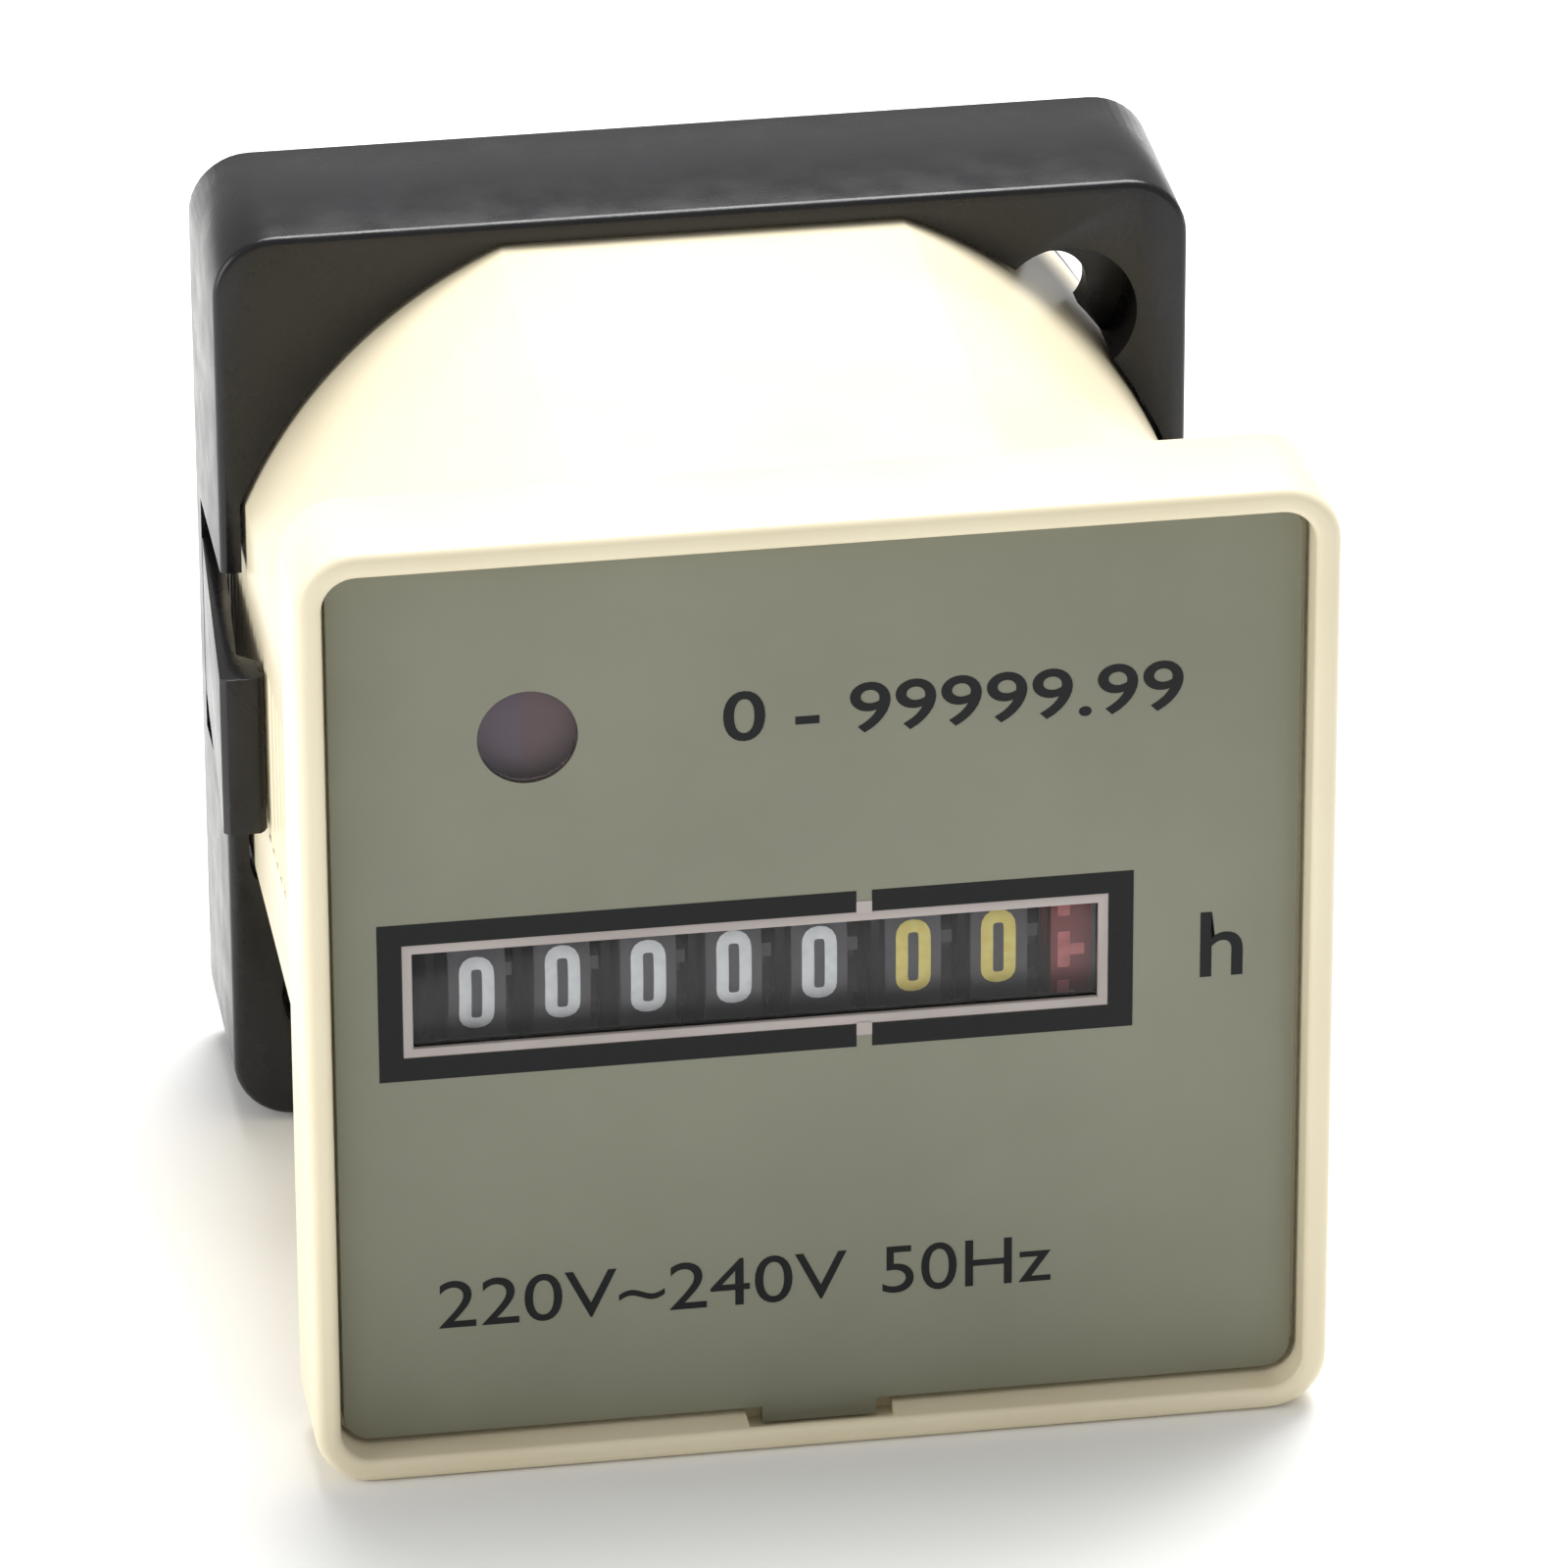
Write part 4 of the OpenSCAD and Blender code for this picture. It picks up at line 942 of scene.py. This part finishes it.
@dataclass
class FacePlate:
    """Grey-green face plate in the pocket, its window liner, its lens and its print."""

    half: float = 22.5
    corner: float = 1.3
    front: float = -4.8
    back: float = -3.8
    tab_half: float = 2.7
    tab_bottom: float = -23.3
    tab_back: float = -4.2
    liner_x: Span = (-19.35, 13.62)
    liner_z: Span = (-2.55, 3.30)
    window_x: Span = (-18.85, 13.12)
    window_z: Span = (-2.05, 2.80)
    surround_x: Span = (-20.47, 14.77)
    surround_z: Span = (-3.70, 4.39)
    gap_x: Span = (1.79, 2.52)
    dot: Spot = (-13.35, 13.5)
    dot_radius: float = 2.325

    def plate(self) -> None:
        """The plate with its tab and its two openings."""
        plate = Bench()
        plate.rounded(self.half, (self.front, self.back), self.corner)
        plate.ease(lambda a, b: max(a.y, b.y) < self.front + WELD, 0.08, 2)
        tab = Bench()
        tab.block(
            (-self.tab_half, self.tab_half), (self.front, self.tab_back),
            (self.tab_bottom, -self.half + 1.0),
        )
        plate = combine(plate, tab, Cut.JOIN)
        holes = Bench()
        holes.block(self.liner_x, (self.front - 1.0, self.back + 1.0), self.liner_z)
        holes.rod(self.dot, (self.front - 1.0, self.back + 1.0), self.dot_radius)
        plate = combine(plate, holes, Cut.AWAY)
        seat(finished(plate, "face_sheet", FACE), "case", ["face_plate"])

    def liner(self) -> None:
        """Pale liner round the window, with a nib at top and bottom in the gap of the print."""
        ring = Bench()
        ring.block(self.liner_x, (self.front, self.back), self.liner_z)
        opening = Bench()
        opening.block(self.window_x, (self.front - 1.0, self.back + 1.0), self.window_z)
        ring = combine(ring, opening, Cut.AWAY)
        ring.ease(lambda a, b: max(a.y, b.y) < self.front + WELD, 0.09, 2)
        for low, high in (
            (self.liner_z[0] - 0.55, self.liner_z[0] + 0.1),
            (self.liner_z[1] - 0.1, self.liner_z[1] + 0.55),
        ):
            ring.block(self.gap_x, (self.front - 0.03, self.front + 0.05), (low, high))
        piece = finished(ring, "window_liner", LINER)
        seat(piece, "case", ["window_frame"])

    def lens(self) -> None:
        """Clear lens in the liner and smoked lens over the turning disc."""
        clear = Bench()
        clear.block(self.window_x, (self.front + 0.15, self.back - 0.05), self.window_z)
        clear.ease(lambda a, b: True, 0.06, 2)
        seat(finished(clear, "counter_lens", CLEAR), "case", ["counter_window"])
        smoke = Bench()
        smoke.rod(self.dot, (self.front + 0.05, self.back - 0.2), self.dot_radius - 0.01)
        smoke.ease(lambda a, b: True, 0.12, 3)
        seat(
            finished(smoke, "indicator_lens", SMOKE), "case", ["indicator_window"]
        )

    def surround(self) -> None:
        """Black print round the window, in two halves."""
        ink = Bench()
        ink.block(self.surround_x, (self.front - 0.02, self.front + 0.005), self.surround_z)
        gone = Bench()
        gone.block(self.liner_x, (self.front - 1.0, self.front + 1.0), self.liner_z)
        ink = combine(ink, gone, Cut.AWAY)
        split = Bench()
        split.block(self.gap_x, (self.front - 1.0, self.front + 1.0), (-9.0, 9.0))
        ink = combine(ink, split, Cut.AWAY)
        seat(finished(ink, "window_surround", PRINT_BLACK), "case")

    def build(self) -> None:
        """Plate, liner, lenses and print."""
        self.plate()
        self.liner()
        self.lens()
        self.surround()
        label = Label(front=self.front)
        label.write("0 - 99999.99", (-4.35, 17.0), (12.5, 15.05), "print_range", 0.01)
        label.write("h", (17.94, 19.95), (-1.45, 1.91), "print_unit", 0.008)
        label.write("220V~240V", (-17.93, 1.3), (-16.9, -14.4), "print_supply")
        label.write("50Hz", (3.0, 10.99), (-16.9, -14.4), "print_rate")


@dataclass
class Indicator:
    """Painted disc that turns behind the smoked lens."""

    centre: Spot = (-13.35, 13.5)
    radius: float = 2.9
    y: Span = (-3.5, -3.0)

    def build(self) -> None:
        """Disc with an eased rim and its hub."""
        disc = Bench()
        disc.rod(self.centre, self.y, self.radius, sides=64)
        disc.ease(lambda a, b: True, 0.1, 2)
        hub = Bench()
        hub.rod(self.centre, (self.y[1] - 0.1, self.y[1] + 2.2), 1.2, sides=32)
        disc = combine(disc, hub, Cut.JOIN)
        bore = Bench()
        bore.rod(self.centre, (self.y[1] + 0.2, self.y[1] + 3.0), 0.5, sides=24)
        disc = combine(disc, bore, Cut.AWAY)
        seat(finished(disc, "indicator_dial", INDICATOR), "indicator",
             ["indicator_disc"])


LONGEST_RUN = 0.35

STROKES: Dict[str, List[List[Spot]]] = {
    "0": [[(0.0, 0.5), (0.0, 0.0), (1.0, 0.0), (1.0, 1.0), (0.0, 1.0), (0.0, 0.5)]],
    "1": [[(0.2, 0.8), (0.5, 1.0), (0.5, 0.0)]],
    "2": [[(0.0, 0.78), (0.0, 1.0), (1.0, 1.0), (1.0, 0.58), (0.0, 0.0), (1.0, 0.0)]],
    "3": [[(0.0, 1.0), (1.0, 1.0), (1.0, 0.54), (0.35, 0.54)],
          [(0.35, 0.54), (1.0, 0.54), (1.0, 0.0), (0.0, 0.0), (0.0, 0.2)]],
    "4": [[(0.75, 0.0), (0.75, 1.0), (0.0, 0.3), (1.0, 0.3)]],
    "5": [[(0.95, 1.0), (0.05, 1.0), (0.0, 0.58), (1.0, 0.58), (1.0, 0.0), (0.0, 0.0),
           (0.0, 0.2)]],
    "6": [[(0.85, 1.0), (0.0, 0.8), (0.0, 0.0), (1.0, 0.0), (1.0, 0.56), (0.0, 0.56)]],
    "7": [[(0.0, 1.0), (1.0, 1.0), (0.35, 0.0)]],
    "8": [[(0.0, 0.54), (0.0, 0.0), (1.0, 0.0), (1.0, 0.54), (0.0, 0.54)],
          [(0.06, 0.54), (0.06, 1.0), (0.94, 1.0), (0.94, 0.54)]],
    "9": [[(0.15, 0.0), (1.0, 0.2), (1.0, 1.0), (0.0, 1.0), (0.0, 0.44), (1.0, 0.44)]],
}


def softened(points: Sequence[Spot], radius: float, steps: int = 4) -> List[Spot]:
    """A path with its corners rounded and its long runs split, so that it can lie on a drum.

    Args:
        points: Corners of the path in mm.
        radius: How far before and after a corner the rounding reaches.
        steps: Points in each rounding.

    Returns:
        The rounded path.
    """
    path = [points[0]]
    for before, corner, after in zip(points, points[1:], points[2:]):
        here, back, on = Vector(corner), Vector(before), Vector(after)
        enter = here + (back - here).normalized() * min(radius, (back - here).length / 2.0)
        leave = here + (on - here).normalized() * min(radius, (on - here).length / 2.0)
        for step in range(steps + 1):
            t = step / steps
            spot = enter * (1 - t) ** 2 + here * 2 * t * (1 - t) + leave * t**2
            path.append((spot.x, spot.y))
    path.append(points[-1])
    even = [path[0]]
    for before, after in zip(path, path[1:]):
        start, end = Vector(before), Vector(after)
        parts = max(1, math.ceil((end - start).length / LONGEST_RUN))
        even += [tuple(start.lerp(end, (k + 1) / parts)) for k in range(parts)]
    return even


@dataclass
class NumberDrum:
    """Band of one counter wheel with its ten printed figures."""

    name: str
    x: float
    digit: Finish
    band: Finish
    slot: str
    axis_y: float = 4.6
    axis_z: float = 0.35
    radius: float = 8.03
    half_width: float = 1.28
    figure_width: float = 1.06
    figure_height: float = 3.0
    stroke: float = 0.285
    raised: float = 0.03
    rest: float = 3.0

    def ring(self) -> Bench:
        """Thin sleeve over the wheel, its two rims eased."""
        sleeve = Bench()
        place = Matrix.Translation((self.x, self.axis_y, self.axis_z)) @ ALONG_X
        for radius in (self.radius, self.radius - SLEEVE_WALL):
            bmesh.ops.create_cone(
                sleeve.bm, cap_ends=False, segments=96, radius1=radius, radius2=radius,
                depth=2.0 * self.half_width, matrix=place,
            )
        rims = [edge for edge in sleeve.bm.edges if edge.is_boundary]
        bmesh.ops.bridge_loops(
            sleeve.bm, edges=[e for e in rims if min(v.co.x for v in e.verts) > self.x]
        )
        bmesh.ops.bridge_loops(
            sleeve.bm, edges=[e for e in rims if max(v.co.x for v in e.verts) < self.x]
        )
        sleeve.ease(
            lambda a, b: (a.yz - Vector((self.axis_y, self.axis_z))).length > self.radius - 0.1
            and abs(a.x - b.x) < WELD,
            0.07,
            2,
        )
        return sleeve

    def strokes(self, mark: Sequence[Sequence[Spot]], turn: float, bench: Bench) -> None:
        """Lay one figure on the drum.

        Args:
            mark: Its strokes as paths in a unit box.
            turn: Its place round the drum, in degrees below the window.
            bench: Where the raised ink goes.
        """
        for path in mark:
            sized = [
                ((u - 0.5) * self.figure_width, (v - 0.5) * self.figure_height) for u, v in path
            ]
            line = softened(sized, 0.5)
            curve = bpy.data.curves.new("stroke", "CURVE")
            curve.dimensions = "3D"
            curve.bevel_depth = self.stroke
            curve.bevel_resolution = 2
            curve.use_fill_caps = True
            spline = curve.splines.new("POLY")
            spline.points.add(len(line) - 1)
            for point, (u, v) in zip(spline.points, line):
                point.co = (u, v, 0.0, 1.0)
            holder = bpy.data.objects.new("stroke", curve)
            bpy.context.scene.collection.objects.link(holder)
            ready = holder.evaluated_get(bpy.context.evaluated_depsgraph_get())
            made = bpy.data.meshes.new_from_object(ready)
            bpy.data.objects.remove(holder)
            bpy.data.curves.remove(curve)
            ink = bmesh.new()
            ink.from_mesh(made)
            bpy.data.meshes.remove(made)
            for vert in ink.verts:
                height = self.radius + vert.co.z / self.stroke * self.raised
                angle = math.radians(-turn - self.rest) + vert.co.y / self.radius
                vert.co = Vector((
                    self.x + vert.co.x,
                    self.axis_y - height * math.cos(angle),
                    self.axis_z + height * math.sin(angle),
                ))
            bench.add(ink)

    def build(self) -> None:
        """Sleeve and figures, both on the wheel's own body."""
        seat(finished(self.ring(), "band_" + self.name, self.band), self.name)
        ink = Bench()
        for figure, strokes in enumerate(STROKES.values()):
            self.strokes(strokes, figure * 36.0, ink)
        seat(finished(ink, "figures_" + self.name, self.digit), self.name)


@dataclass
class RunningDrum(NumberDrum):
    """Red wheel that moves all the time, marked with a scale in place of figures."""

    edge: Finish = DRUM
    edge_half: float = 0.36

    def build(self) -> None:
        """Sleeve and a scale of ten long and ten short marks."""
        seat(finished(self.ring(), "band_" + self.name, self.band), self.name)
        edge = NumberDrum(
            self.name, self.x + self.half_width - self.edge_half, self.digit, self.edge,
            self.slot, radius=self.radius + 0.02, half_width=self.edge_half,
        )
        seat(finished(edge.ring(), "edge_" + self.name, self.edge), self.name)
        ink = Bench()
        for step in range(20):
            reach = 0.9 if step % 2 == 0 else 0.5
            self.strokes([[(-0.15, 0.5), (-0.15 + reach, 0.5)]], step * 18.0, ink)
            self.strokes([[(-0.15, 0.2), (-0.15, 0.8)]], step * 18.0, ink)
        seat(finished(ink, "scale_" + self.name, self.digit), self.name)


@dataclass
class Bracket:
    """Black fixing bracket that slides on the body from behind, and its two latches."""

    half: float = 23.66
    corner: float = 3.0
    y: Span = (29.8, 40.58)
    bore_radius: float = 24.65
    bore_flat: float = 22.62
    front_wall: float = 5.0
    skirt: float = 1.4
    recess: Spot = (17.7, 16.9)
    recess_radius: float = 3.5
    recess_depth: float = 3.8
    hole_radius: float = 1.7
    window_half: float = 6.2
    window_end: float = 38.65
    latch_half: float = 4.15
    latch_tip: float = 22.3
    latch_root: float = 38.5

    def ring(self) -> None:
        """The square ring with its bore, corner recesses and latch windows."""
        ring = Bench()
        ring.rounded(self.half, self.y, self.corner)
        ring.ease(lambda a, b: max(a.y, b.y) < self.y[0] + WELD, 0.35, 3)
        ring.ease(lambda a, b: min(a.y, b.y) > self.y[1] - WELD, 0.25, 2)
        bore = Bench()
        bore.flatted(self.bore_radius, self.bore_flat, (self.y[0] - 1.0, self.y[1] + 1.0))
        ring = combine(ring, bore, Cut.AWAY)
        inside = Bench()
        inside.rounded(
            self.half - self.skirt, (self.y[0] + self.front_wall, self.y[1] + 1.0), 1.8
        )
        ring = combine(ring, inside, Cut.AWAY)
        cuts = Bench()
        for side in (-1.0, 1.0):
            at = (side * self.recess[0], side * self.recess[1])
            cuts.rod(at, (self.y[0] - 1.0, self.y[0] + self.recess_depth), self.recess_radius)
        ring = combine(ring, cuts, Cut.AWAY)
        holes = Bench()
        for side in (-1.0, 1.0):
            at = (side * self.recess[0], side * self.recess[1])
            holes.rod(at, (self.y[0] - 1.0, self.y[0] + self.front_wall + 1.0), self.hole_radius)
            ends = sorted((side * (self.bore_flat - 1.0), side * (self.half + 1.0)))
            holes.block(
                (ends[0], ends[1]), (self.y[0] - 1.0, self.window_end),
                (-self.window_half, self.window_half),
            )
        ring = combine(ring, holes, Cut.AWAY)
        ring.ease(lambda a, b: max(a.y, b.y) < self.y[0] + WELD, 0.12, 2)
        halves = ["bracket_left", "bracket_right"]
        seat(finished(ring, "bracket_ring", BLACK), "bracket", halves)

    def latch(self, side: float, name: str, node: str) -> None:
        """One springy latch arm with its hook.

        Args:
            side: 1 for the right, -1 for the left.
            name: Name of the piece.
            node: CAD node and body of the latch.
        """
        outline = [
            (22.47, 22.65), (22.82, 22.3), (24.3, 22.3), (24.6, 22.6), (23.66, 38.4),
            (23.56, 38.5), (22.67, 38.5), (23.5, 25.1), (22.47, 24.2),
        ]
        arm = Bench()
        points = outline if side > 0.0 else [(-x, y) for x, y in reversed(outline)]
        arm.outline(points, (-self.latch_half, self.latch_half))
        corner = Bench()
        verts = corner.block((-0.8, 0.8), (-1.75, 1.75), (-0.8, 0.8))
        bmesh.ops.rotate(corner.bm, verts=verts, matrix=Matrix.Rotation(math.pi / 4.0, 3, "Y"))
        bmesh.ops.translate(
            corner.bm, verts=verts, vec=(side * 21.47, self.latch_tip - 1.0, -self.latch_half)
        )
        arm = combine(arm, corner, Cut.AWAY)
        arm.ease(lambda a, b: True, 0.1, 2)
        seat(finished(arm, name, BLACK), node, [node])

    def build(self) -> None:
        """Ring and both latches."""
        self.ring()
        self.latch(-1.0, "latch_arm_left", "latch_left")
        self.latch(1.0, "latch_arm_right", "latch_right")


@dataclass
class RearCover:
    """Black rear cover with the terminal block."""

    radius: float = 24.3
    flat: float = 22.27
    y: Span = (41.5, 43.5)
    spigot_radius: float = 22.6
    spigot_flat: float = 20.57
    spigot_wall: float = 1.2
    spigot_length: float = 1.7
    block_half: float = 12.5
    block_z: Span = (-7.5, 5.7)
    block_end: float = 49.6
    bay_x: float = 6.1
    bay_half: float = 5.1
    bay_floor: float = 44.0
    bay_top: float = 4.4
    terminal_z: float = -0.5
    screw_places: Tuple[Spot, ...] = ((-10.15, 17.58), (-10.15, -17.58))

    def plate(self) -> Bench:
        """The cover plate with its spigot, key and terminal block."""
        plate = Bench()
        plate.flatted(self.radius, self.flat, self.y)
        plate.ease(lambda a, b: min(a.y, b.y) > self.y[1] - WELD, 0.35, 3)
        spigot = Bench()
        spigot.flatted(
            self.spigot_radius, self.spigot_flat, (self.y[0] - self.spigot_length, self.y[0] + 0.1)
        )
        inside = Bench()
        inside.flatted(
            self.spigot_radius - self.spigot_wall,
            self.spigot_flat - self.spigot_wall,
            (self.y[0] - self.spigot_length - 1.0, self.y[0]),
        )
        plate = combine(plate, combine(spigot, inside, Cut.AWAY), Cut.JOIN)
        block = Bench()
        block.block((-self.block_half, self.block_half), (self.y[1] - 0.1, self.block_end),
                    self.block_z)
        block.ease(lambda a, b: min(a.y, b.y) > self.y[1], 0.45, 3)
        plate = combine(plate, block, Cut.JOIN)
        key = Bench()
        key.block((20.17, 21.57), (40.1, 41.0), (-2.0, 2.0))
        return combine(plate, key, Cut.JOIN)

    def build(self) -> None:
        """Cover with its bays, holes and counterbores."""
        cuts = Bench()
        for side in (-1.0, 1.0):
            x = side * self.bay_x
            cuts.block(
                (x - self.bay_half, x + self.bay_half), (self.bay_floor, self.block_end + 1.0),
                (self.block_z[0] - 1.0, self.bay_top),
            )
        cover = combine(self.plate(), cuts, Cut.AWAY)
        cover.ease(
            lambda a, b: min(a.y, b.y) > self.block_end - WELD
            and max(abs(a.x), abs(b.x)) < self.block_half - 0.6,
            0.18,
            2,
        )
        holes = Bench()
        for side in (-1.0, 1.0):
            x = side * self.bay_x
            holes.rod((x, self.terminal_z), (self.y[0] - 2.0, self.bay_floor + 1.0), 1.75)
            holes.block((x - 1.5, x + 1.5), (self.y[0] - 2.0, self.bay_floor + 1.0), (3.2, 4.0))
        for at in self.screw_places:
            holes.rod(at, (38.5, self.y[1] + 1.0), 1.25)
        cover = combine(cover, holes, Cut.AWAY)
        rooms = Bench()
        for at in self.screw_places:
            rooms.rod(at, (self.y[0] - 3.0, self.y[0]), 3.0)
            rooms.rod(at, (self.y[1] - 1.2, self.y[1] + 1.0), 2.2)
        cover = combine(cover, rooms, Cut.AWAY)
        seat(finished(cover, "rear_shell", COVER), "case", ["rear_cover"])


@dataclass(frozen=True)
class Dressing:
    """How one CAD node is finished."""

    finish: Finish
    slot: str
    edge: float = 0.0


WHEELS = ("ten_thousands", "thousands", "hundreds", "tens", "ones", "tenths", "hundredths")
RESTS = (3.2, 1.6, 1.9, 1.0, 1.6, 1.75, 0.7)
# Middle of each number wheel along X, from the left
WHEEL_PLACES = (-15.65, -11.68, -7.71, -3.74, 0.23, 4.60, 8.57)
# The wheels left of the decimal mark have white figures, the others yellow ones
WHITE_WHEELS = 5
# Wall of the sleeve that covers each number wheel
SLEEVE_WALL = 0.35

DRESSINGS: Dict[str, Dressing] = {
    "counter_frame": Dressing(FRAME_STEEL, "frame_steel"),
    "counter_shaft": Dressing(SHAFT_STEEL, "shaft_steel"),
    "carry_shaft": Dressing(SHAFT_STEEL, "shaft_steel"),
    "drive_pinion": Dressing(ACETAL, "gear_white"),
    "running_wheel": Dressing(RED_DRUM, "wheel_red"),
    "frame_screws": Dressing(SCREW_STEEL, "screw_steel"),
    "front_plate": Dressing(BRASS_PLATE, "plate_brass"),
    "rear_plate": Dressing(BRASS_PLATE, "plate_brass"),
    "pillars": Dressing(SHAFT_STEEL, "shaft_steel"),
    "pillar_screws": Dressing(SCREW_STEEL, "screw_steel"),
    "movement_screws": Dressing(SCREW_STEEL, "screw_steel"),
    "arbor_pins": Dressing(SHAFT_STEEL, "shaft_steel"),
    "first_wheel": Dressing(ACETAL, "gear_white"),
    "second_wheel": Dressing(ACETAL, "gear_white"),
    "output_wheel": Dressing(ACETAL, "gear_white"),
    "idler_wheel": Dressing(ACETAL, "gear_white"),
    "indicator_shaft": Dressing(SHAFT_STEEL, "shaft_steel"),
    "motor_front_cup": Dressing(MOTOR_STEEL, "motor_steel"),
    "motor_rear_cup": Dressing(MOTOR_STEEL, "motor_steel"),
    "motor_bobbin": Dressing(BOBBIN, "bobbin_black"),
    "motor_winding": Dressing(COPPER, "winding_copper"),
    "motor_bushes": Dressing(BUSH, "bush_bronze"),
    "motor_screws": Dressing(SCREW_STEEL, "screw_steel"),
    "rotor_magnet": Dressing(MAGNET, "magnet_dark"),
    "rotor_shaft": Dressing(ACETAL, "gear_white"),
    "coil_leads": Dressing(LEAD, "lead_red"),
    "cover_screws": Dressing(SCREW_STEEL, "screw_steel", 0.15),
    "terminal_straps": Dressing(STRAP, "strap_brass", 0.1),
    "terminal_clamps": Dressing(SCREW_STEEL, "screw_steel", 0.12),
    "terminal_screws": Dressing(SCREW_STEEL, "screw_steel", 0.2),
}
DRESSINGS.update({"wheel_" + name: Dressing(DRUM, "wheel_black") for name in WHEELS})
DRESSINGS.update({f"carry_pinion_{k}": Dressing(ACETAL, "gear_white") for k in range(1, 8)})


@dataclass
class Dresser:
    """Gives each carried-over CAD node its finish, and eases those that show outside."""

    nodes: Dict[str, Piece]

    def build(self) -> None:
        """Dress every node, or replace it by an eased copy."""
        for node, dressing in DRESSINGS.items():
            if dressing.edge > 0.0:
                piece = refined(node, "eased_" + node, dressing.finish, dressing.edge)
                seat(piece, "case", [node])
                continue
            slots = self.nodes[node].data.materials
            for index in range(len(slots)):
                slots[index] = dressing.finish.material()
            LOG.info("%s dressed in %s", node, dressing.finish.name)


# --------------------------------------------------------------------------------------------
# Studio
# --------------------------------------------------------------------------------------------


@dataclass
class Studio:
    """Pale floor, soft lights and the camera."""

    floor_z: float
    camera_at: Tuple[float, float, float] = (-74.445, -474.748, 248.210)
    right: Tuple[float, float, float] = (0.98785482, -0.15532421, -0.0041516)
    down: Tuple[float, float, float] = (-0.0731915, -0.44159317, -0.89422507)
    forward: Tuple[float, float, float] = (0.13706149, 0.88366841, -0.44759836)
    lens: float = 266.87
    sky: float = 0.5

    def floor(self) -> None:
        """A wide pale sheet under the counter."""
        bench = Bench()
        bmesh.ops.create_grid(bench.bm, x_segments=2, y_segments=2, size=4000.0)
        bmesh.ops.translate(bench.bm, verts=bench.bm.verts[:], vec=(0.0, 0.0, self.floor_z))
        mesh = bpy.data.meshes.new("floor")
        bench.bm.to_mesh(mesh)
        bench.bm.free()
        mesh.transform(Matrix.Scale(MM, 4))
        recipe = Recipe("studio_floor")
        recipe.shader.inputs["Base Color"].default_value = (0.93, 0.93, 0.92, 1.0)
        recipe.set(Roughness=0.6, Specular_IOR_Level=0.2)
        mesh.materials.append(recipe.material)
        sheet = bpy.data.objects.new("floor", mesh)
        bpy.context.scene.collection.objects.link(sheet)
        sheet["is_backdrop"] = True

    def light(
        self, name: str, at: Tuple[float, float, float], size: float, watts: float
    ) -> None:
        """A square soft light aimed at the counter.

        Args:
            name: Name of the light.
            at: Its place in mm.
            size: Its side in mm.
            watts: Its power.
        """
        lamp = bpy.data.lights.new(name, "AREA")
        lamp.shape = "SQUARE"
        lamp.size = size * MM
        lamp.energy = watts
        holder = bpy.data.objects.new(name, lamp)
        place = Vector(at) * MM
        holder.location = place
        holder.rotation_euler = (-place).to_track_quat("-Z", "Y").to_euler()
        bpy.context.scene.collection.objects.link(holder)

    def camera(self) -> None:
        """The camera at its measured place and angle."""
        data = bpy.data.cameras.new("camera")
        data.lens = self.lens
        data.sensor_width = 36.0
        data.clip_start = 0.01
        data.clip_end = 20.0
        holder = bpy.data.objects.new("camera", data)
        axes = Matrix((self.right, [-part for part in self.down], [-part for part in self.forward]))
        place = Matrix.Translation(Vector(self.camera_at) * MM)
        holder.matrix_world = place @ axes.transposed().to_4x4()
        bpy.context.scene.collection.objects.link(holder)
        bpy.context.scene.camera = holder

    def build(self) -> None:
        """Floor, world, lights and camera."""
        self.floor()
        world = bpy.data.worlds.new("studio")
        world.use_nodes = True
        back = world.node_tree.nodes["Background"]
        back.inputs["Color"].default_value = (1.0, 1.0, 1.0, 1.0)
        back.inputs["Strength"].default_value = self.sky
        bpy.context.scene.world = world
        bpy.context.scene.view_settings.view_transform = "Standard"
        self.light("key_above", (120.0, 240.0, 620.0), 420.0, 7.0)
        self.light("fill_left", (-560.0, -60.0, 160.0), 360.0, 1.6)
        self.camera()


def main() -> None:
    """Build every sub-assembly in order."""
    logging.basicConfig(level=logging.INFO, format="%(message)s")
    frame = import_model()
    cad_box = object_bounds()
    Dresser(frame["nodes"]).build()
    Housing().build()
    FacePlate().build()
    Indicator().build()
    for index, (name, x) in enumerate(zip(WHEELS, WHEEL_PLACES)):
        ink = PRINT_WHITE if index < WHITE_WHEELS else PRINT_YELLOW
        NumberDrum("wheel_" + name, x, ink, DRUM, "wheel_black", rest=RESTS[index]).build()
    RunningDrum("running_wheel", 12.32, PRINT_PINK, RED_DRUM, "wheel_red").build()
    Bracket().build()
    RearCover().build()
    Studio(floor_z=cad_box[0][2] / MM).build()


if __name__ == "__main__":
    main()
